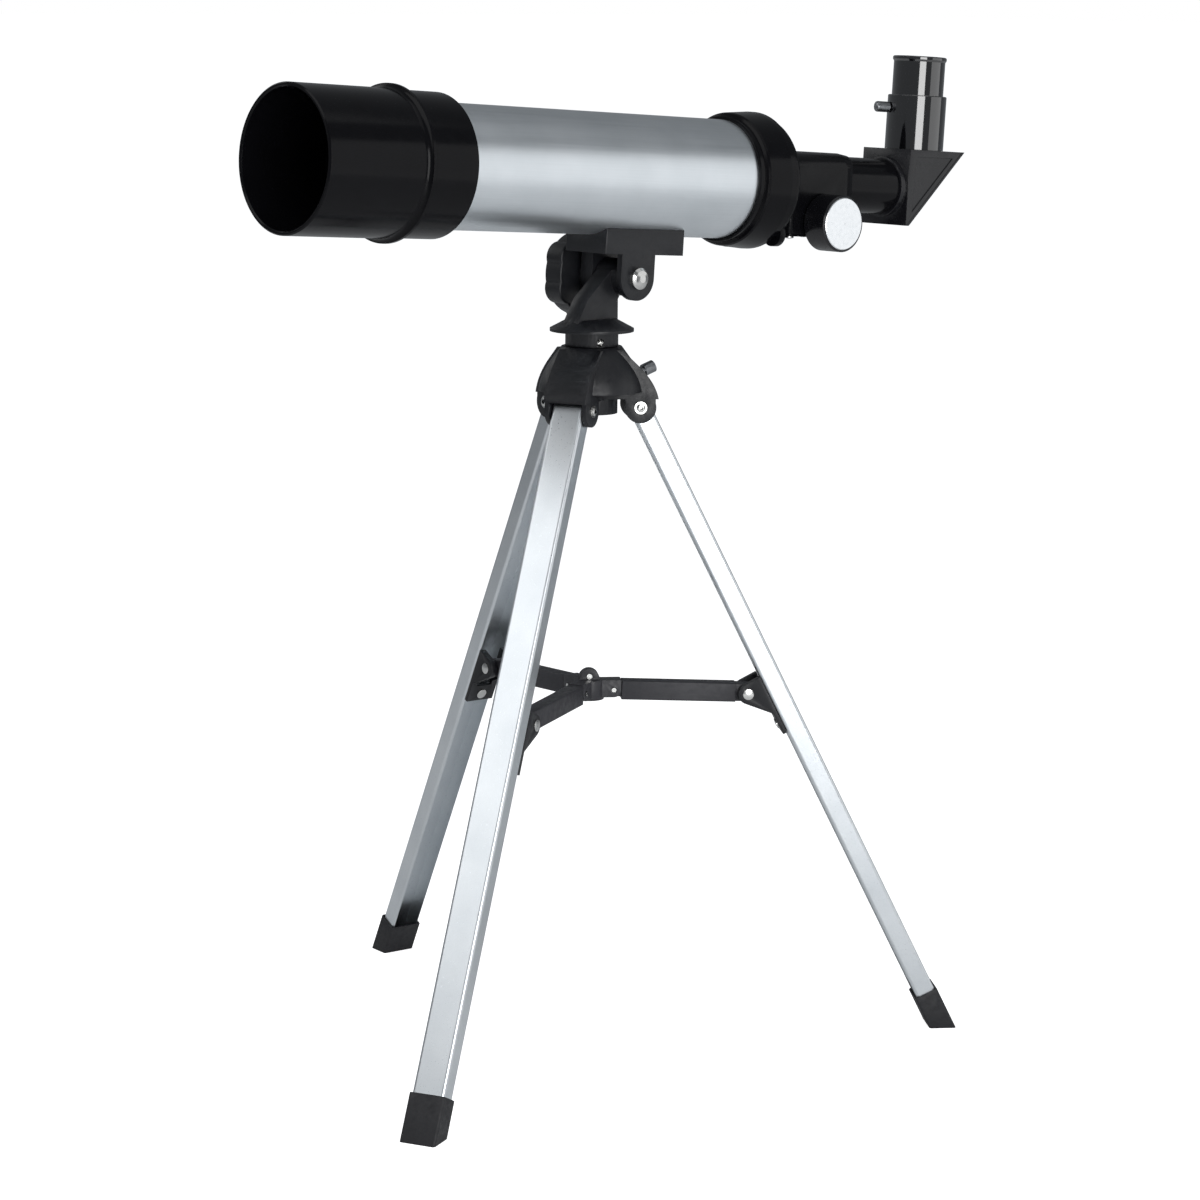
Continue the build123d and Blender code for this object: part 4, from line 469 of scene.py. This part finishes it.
def fastenerTree():
    # heads with a rounded top, and a cross, a bore or nothing in it, on points that each face their own way
    tree = bpy.data.node_groups.new("fastenerHeads", "GeometryNodeTree")
    face = tree.interface
    face.new_socket("Geometry", in_out="INPUT", socket_type="NodeSocketGeometry")
    for name in ("Head Radius", "Head Height", "Dome Share", "Shank Radius", "Reach", "Recess Width",
                 "Recess Length", "Recess Depth"):
        face.new_socket(name, in_out="INPUT", socket_type="NodeSocketFloat")
    for name in ("Recessed", "Round Recess"):
        face.new_socket(name, in_out="INPUT", socket_type="NodeSocketBool")
    face.new_socket("Seed", in_out="INPUT", socket_type="NodeSocketInt")
    for name in ("Finish", "Bore Painted Shade"):
        face.new_socket(name, in_out="INPUT", socket_type="NodeSocketMaterial")
    face.new_socket("Geometry", in_out="OUTPUT", socket_type="NodeSocketGeometry")
    given = tree.nodes.new("NodeGroupInput").outputs
    dome = addNode(tree, "ShaderNodeMath", {"operation": "MULTIPLY"},
                   links={0: given["Head Height"], 1: given["Dome Share"]})
    rim = addNode(tree, "ShaderNodeMath", {"operation": "SUBTRACT"},
                  links={0: given["Head Height"], 1: dome.outputs[0]})
    halfRim = addNode(tree, "ShaderNodeMath", {"operation": "MULTIPLY"}, {1: 0.5}, {0: rim.outputs[0]})
    drum = addNode(tree, "GeometryNodeMeshCylinder", {"fill_type": "TRIANGLE_FAN"},
                   {"Vertices": headMesh["around"], "Side Segments": 2, "Fill Segments": headMesh["rings"]},
                   {"Radius": given["Head Radius"], "Depth": rim.outputs[0]})
    place = addNode(tree, "GeometryNodeInputPosition")
    parts = addNode(tree, "ShaderNodeSeparateXYZ", links={0: place.outputs[0]})
    level = addNode(tree, "ShaderNodeCombineXYZ", links={"X": parts.outputs["X"], "Y": parts.outputs["Y"]})
    out = addNode(tree, "ShaderNodeVectorMath", {"operation": "LENGTH"}, links={0: level.outputs[0]})
    share = addNode(tree, "ShaderNodeMath", {"operation": "DIVIDE"},
                    links={0: out.outputs["Value"], 1: given["Head Radius"]})
    squared = addNode(tree, "ShaderNodeMath", {"operation": "MULTIPLY"},
                      links={0: share.outputs[0], 1: share.outputs[0]})
    fall = addNode(tree, "ShaderNodeMath", {"operation": "SUBTRACT"}, {0: 1.0}, {1: squared.outputs[0]})
    lift = addNode(tree, "ShaderNodeMath", {"operation": "MULTIPLY"}, links={0: dome.outputs[0], 1: fall.outputs[0]})
    nearTop = addNode(tree, "ShaderNodeMath", {"operation": "MULTIPLY"}, {1: 0.9}, {0: halfRim.outputs[0]})
    onTop = addNode(tree, "ShaderNodeMath", {"operation": "GREATER_THAN"},
                    links={0: parts.outputs["Z"], 1: nearTop.outputs[0]})
    up = addNode(tree, "ShaderNodeMath", {"operation": "MULTIPLY_ADD"},
                 links={0: onTop.outputs[0], 1: lift.outputs[0], 2: halfRim.outputs[0]})
    rise = addNode(tree, "ShaderNodeCombineXYZ", links={"Z": up.outputs[0]})
    head = addNode(tree, "GeometryNodeSetPosition",
                   links={"Geometry": drum.outputs["Mesh"], "Offset": rise.outputs[0]})
    headTop = addNode(tree, "ShaderNodeCombineXYZ", links={"Z": given["Head Height"]})
    tall = addNode(tree, "ShaderNodeMath", {"operation": "MULTIPLY"}, {1: 2.0}, {0: given["Recess Depth"]})
    cutters = []
    for length, width in (("X", "Y"), ("Y", "X")):
        size = addNode(tree, "ShaderNodeCombineXYZ",
                       links={length: given["Recess Length"], width: given["Recess Width"], "Z": tall.outputs[0]})
        bar = addNode(tree, "GeometryNodeMeshCube", links={"Size": size.outputs[0]})
        cutters.append(addNode(tree, "GeometryNodeTransform",
                               links={"Geometry": bar.outputs["Mesh"], "Translation": headTop.outputs[0]}))
    crossed = addNode(tree, "GeometryNodeMeshBoolean", {"operation": "DIFFERENCE", "solver": "EXACT"},
                      links={"Mesh 1": head.outputs[0], "Mesh 2": cutters[0].outputs[0]})
    tree.links.new(cutters[1].outputs[0], crossed.inputs["Mesh 2"])
    # the bore cutter keeps a dark matt material, so the hollow rivet's walls are painted shade, not plated metal
    boreRadius = addNode(tree, "ShaderNodeMath", {"operation": "MULTIPLY"}, {1: 0.5}, {0: given["Recess Width"]})
    drill = addNode(tree, "GeometryNodeMeshCylinder", values={"Vertices": headMesh["boreAround"]},
                    links={"Radius": boreRadius.outputs[0], "Depth": tall.outputs[0]})
    shaded = addNode(tree, "GeometryNodeSetMaterial",
                     links={"Geometry": drill.outputs["Mesh"], "Material": given["Bore Painted Shade"]})
    drillUp = addNode(tree, "GeometryNodeTransform",
                      links={"Geometry": shaded.outputs[0], "Translation": headTop.outputs[0]})
    bored = addNode(tree, "GeometryNodeMeshBoolean", {"operation": "DIFFERENCE", "solver": "EXACT"},
                    links={"Mesh 1": head.outputs[0], "Mesh 2": drillUp.outputs[0]})
    cut = addNode(tree, "GeometryNodeSwitch", {"input_type": "GEOMETRY"},
                  links={"Switch": given["Round Recess"], "False": crossed.outputs[0], "True": bored.outputs[0]})
    topped = addNode(tree, "GeometryNodeSwitch", {"input_type": "GEOMETRY"},
                     links={"Switch": given["Recessed"], "False": head.outputs[0], "True": cut.outputs[0]})
    deeper = addNode(tree, "ShaderNodeMath", {"operation": "SUBTRACT"},
                     links={0: given["Recess Depth"], 1: given["Head Height"]})
    below = addNode(tree, "ShaderNodeMath", {"operation": "MAXIMUM"}, {1: 0.0}, {0: deeper.outputs[0]})
    left = addNode(tree, "ShaderNodeMath", {"operation": "SUBTRACT"},
                   links={0: given["Reach"], 1: below.outputs[0]})
    rod = addNode(tree, "GeometryNodeMeshCylinder", values={"Vertices": headMesh["shankAround"]},
                  links={"Radius": given["Shank Radius"], "Depth": left.outputs[0]})
    halfLeft = addNode(tree, "ShaderNodeMath", {"operation": "MULTIPLY"}, {1: -0.499}, {0: left.outputs[0]})
    middle = addNode(tree, "ShaderNodeMath", {"operation": "SUBTRACT"},
                     links={0: halfLeft.outputs[0], 1: below.outputs[0]})
    sunk = addNode(tree, "ShaderNodeCombineXYZ", links={"Z": middle.outputs[0]})
    shank = addNode(tree, "GeometryNodeTransform",
                    links={"Geometry": rod.outputs["Mesh"], "Translation": sunk.outputs[0]})
    whole = addNode(tree, "GeometryNodeJoinGeometry", links={"Geometry": topped.outputs[0]})
    tree.links.new(shank.outputs[0], whole.inputs["Geometry"])
    facing = addNode(tree, "GeometryNodeInputNamedAttribute", {"data_type": "FLOAT_VECTOR"}, {"Name": "facing"})
    aim = addNode(tree, "FunctionNodeAlignRotationToVector", {"axis": "Z"}, links={"Vector": facing.outputs[0]})
    chance = addNode(tree, "FunctionNodeRandomValue", {"data_type": "FLOAT"}, links={"Seed": given["Seed"]})
    chance.inputs[3].default_value = 2 * math.pi
    roll = addNode(tree, "FunctionNodeAxisAngleToRotation", values={"Axis": (0, 0, 1)},
                   links={"Angle": chance.outputs[1]})
    turned = addNode(tree, "FunctionNodeRotateRotation", {"rotation_space": "LOCAL"},
                     links={"Rotation": aim.outputs[0], "Rotate By": roll.outputs[0]})
    placed = addNode(tree, "GeometryNodeInstanceOnPoints",
                     links={"Points": given["Geometry"], "Instance": whole.outputs[0], "Rotation": turned.outputs[0]})
    real = addNode(tree, "GeometryNodeRealizeInstances", links={"Geometry": placed.outputs[0]})
    bend = addNode(tree, "GeometryNodeInputMeshEdgeAngle")
    sharp = addNode(tree, "FunctionNodeCompare", {"operation": "GREATER_THAN"},
                    {"B": math.radians(headMesh["creaseOver"])}, {"A": bend.outputs["Unsigned Angle"]})
    creased = addNode(tree, "GeometryNodeSetShadeSmooth", {"domain": "EDGE"}, {"Shade Smooth": False},
                      {"Geometry": real.outputs[0], "Selection": sharp.outputs[0]})
    # faces from the bore cutter keep their painted shade; only the rest takes the head's finish
    inBore = addNode(tree, "GeometryNodeMaterialSelection", links={"Material": given["Bore Painted Shade"]})
    outside = addNode(tree, "FunctionNodeBooleanMath", {"operation": "NOT"}, links={0: inBore.outputs[0]})
    finished = addNode(tree, "GeometryNodeSetMaterial",
                       links={"Geometry": creased.outputs[0], "Selection": outside.outputs[0],
                              "Material": given["Finish"]})
    addNode(tree, "NodeGroupOutput", links={"Geometry": finished.outputs[0]})
    return tree


def makeFasteners(tree, nodeName, recess, width, length, depth, ends):
    places, sizes = fastenerPlaces(nodeName, ends)
    mesh = bpy.data.meshes.new(nodeName + "_heads")
    mesh.from_pydata([tuple(spot) for spot, _ in places], [], [])
    facing = mesh.attributes.new("facing", "FLOAT_VECTOR", "POINT")
    for item, (_, way) in zip(facing.data, places):
        item.vector = tuple(way)
    piece = bpy.data.objects.new(nodeName + "_heads", mesh)
    bpy.context.scene.collection.objects.link(piece)
    modifier = piece.modifiers.new("heads", "NODES")
    modifier.node_group = tree
    radius = sizes["Head Radius"]
    wanted = {**sizes, "Dome Share": domeShare, "Recess Width": width * radius, "Recess Length": length * radius,
              "Recess Depth": depth * sizes["Head Height"], "Recessed": recess != "none",
              "Round Recess": recess == "bore", "Seed": rollSeed, "Finish": finishes[finishOf[nodeName]],
              "Bore Painted Shade": finishes["matBlackInsideAndBoreShade"]}
    for socket in tree.interface.items_tree:
        if socket.in_out == "INPUT" and socket.name in wanted:
            value = wanted[socket.name]
            modifier[socket.identifier] = float(value) if socket.socket_type == "NodeSocketFloat" else value
    plainMesh(piece)
    return finishPiece(piece, bodyOf[nodeName], None, slotOf[nodeName], nodeName)


heads = fastenerTree()
for nodeName, shape in fasteners.items():
    piece = makeFasteners(heads, nodeName, **shape)
    print("fasteners", nodeName, len(piece.data.polygons))
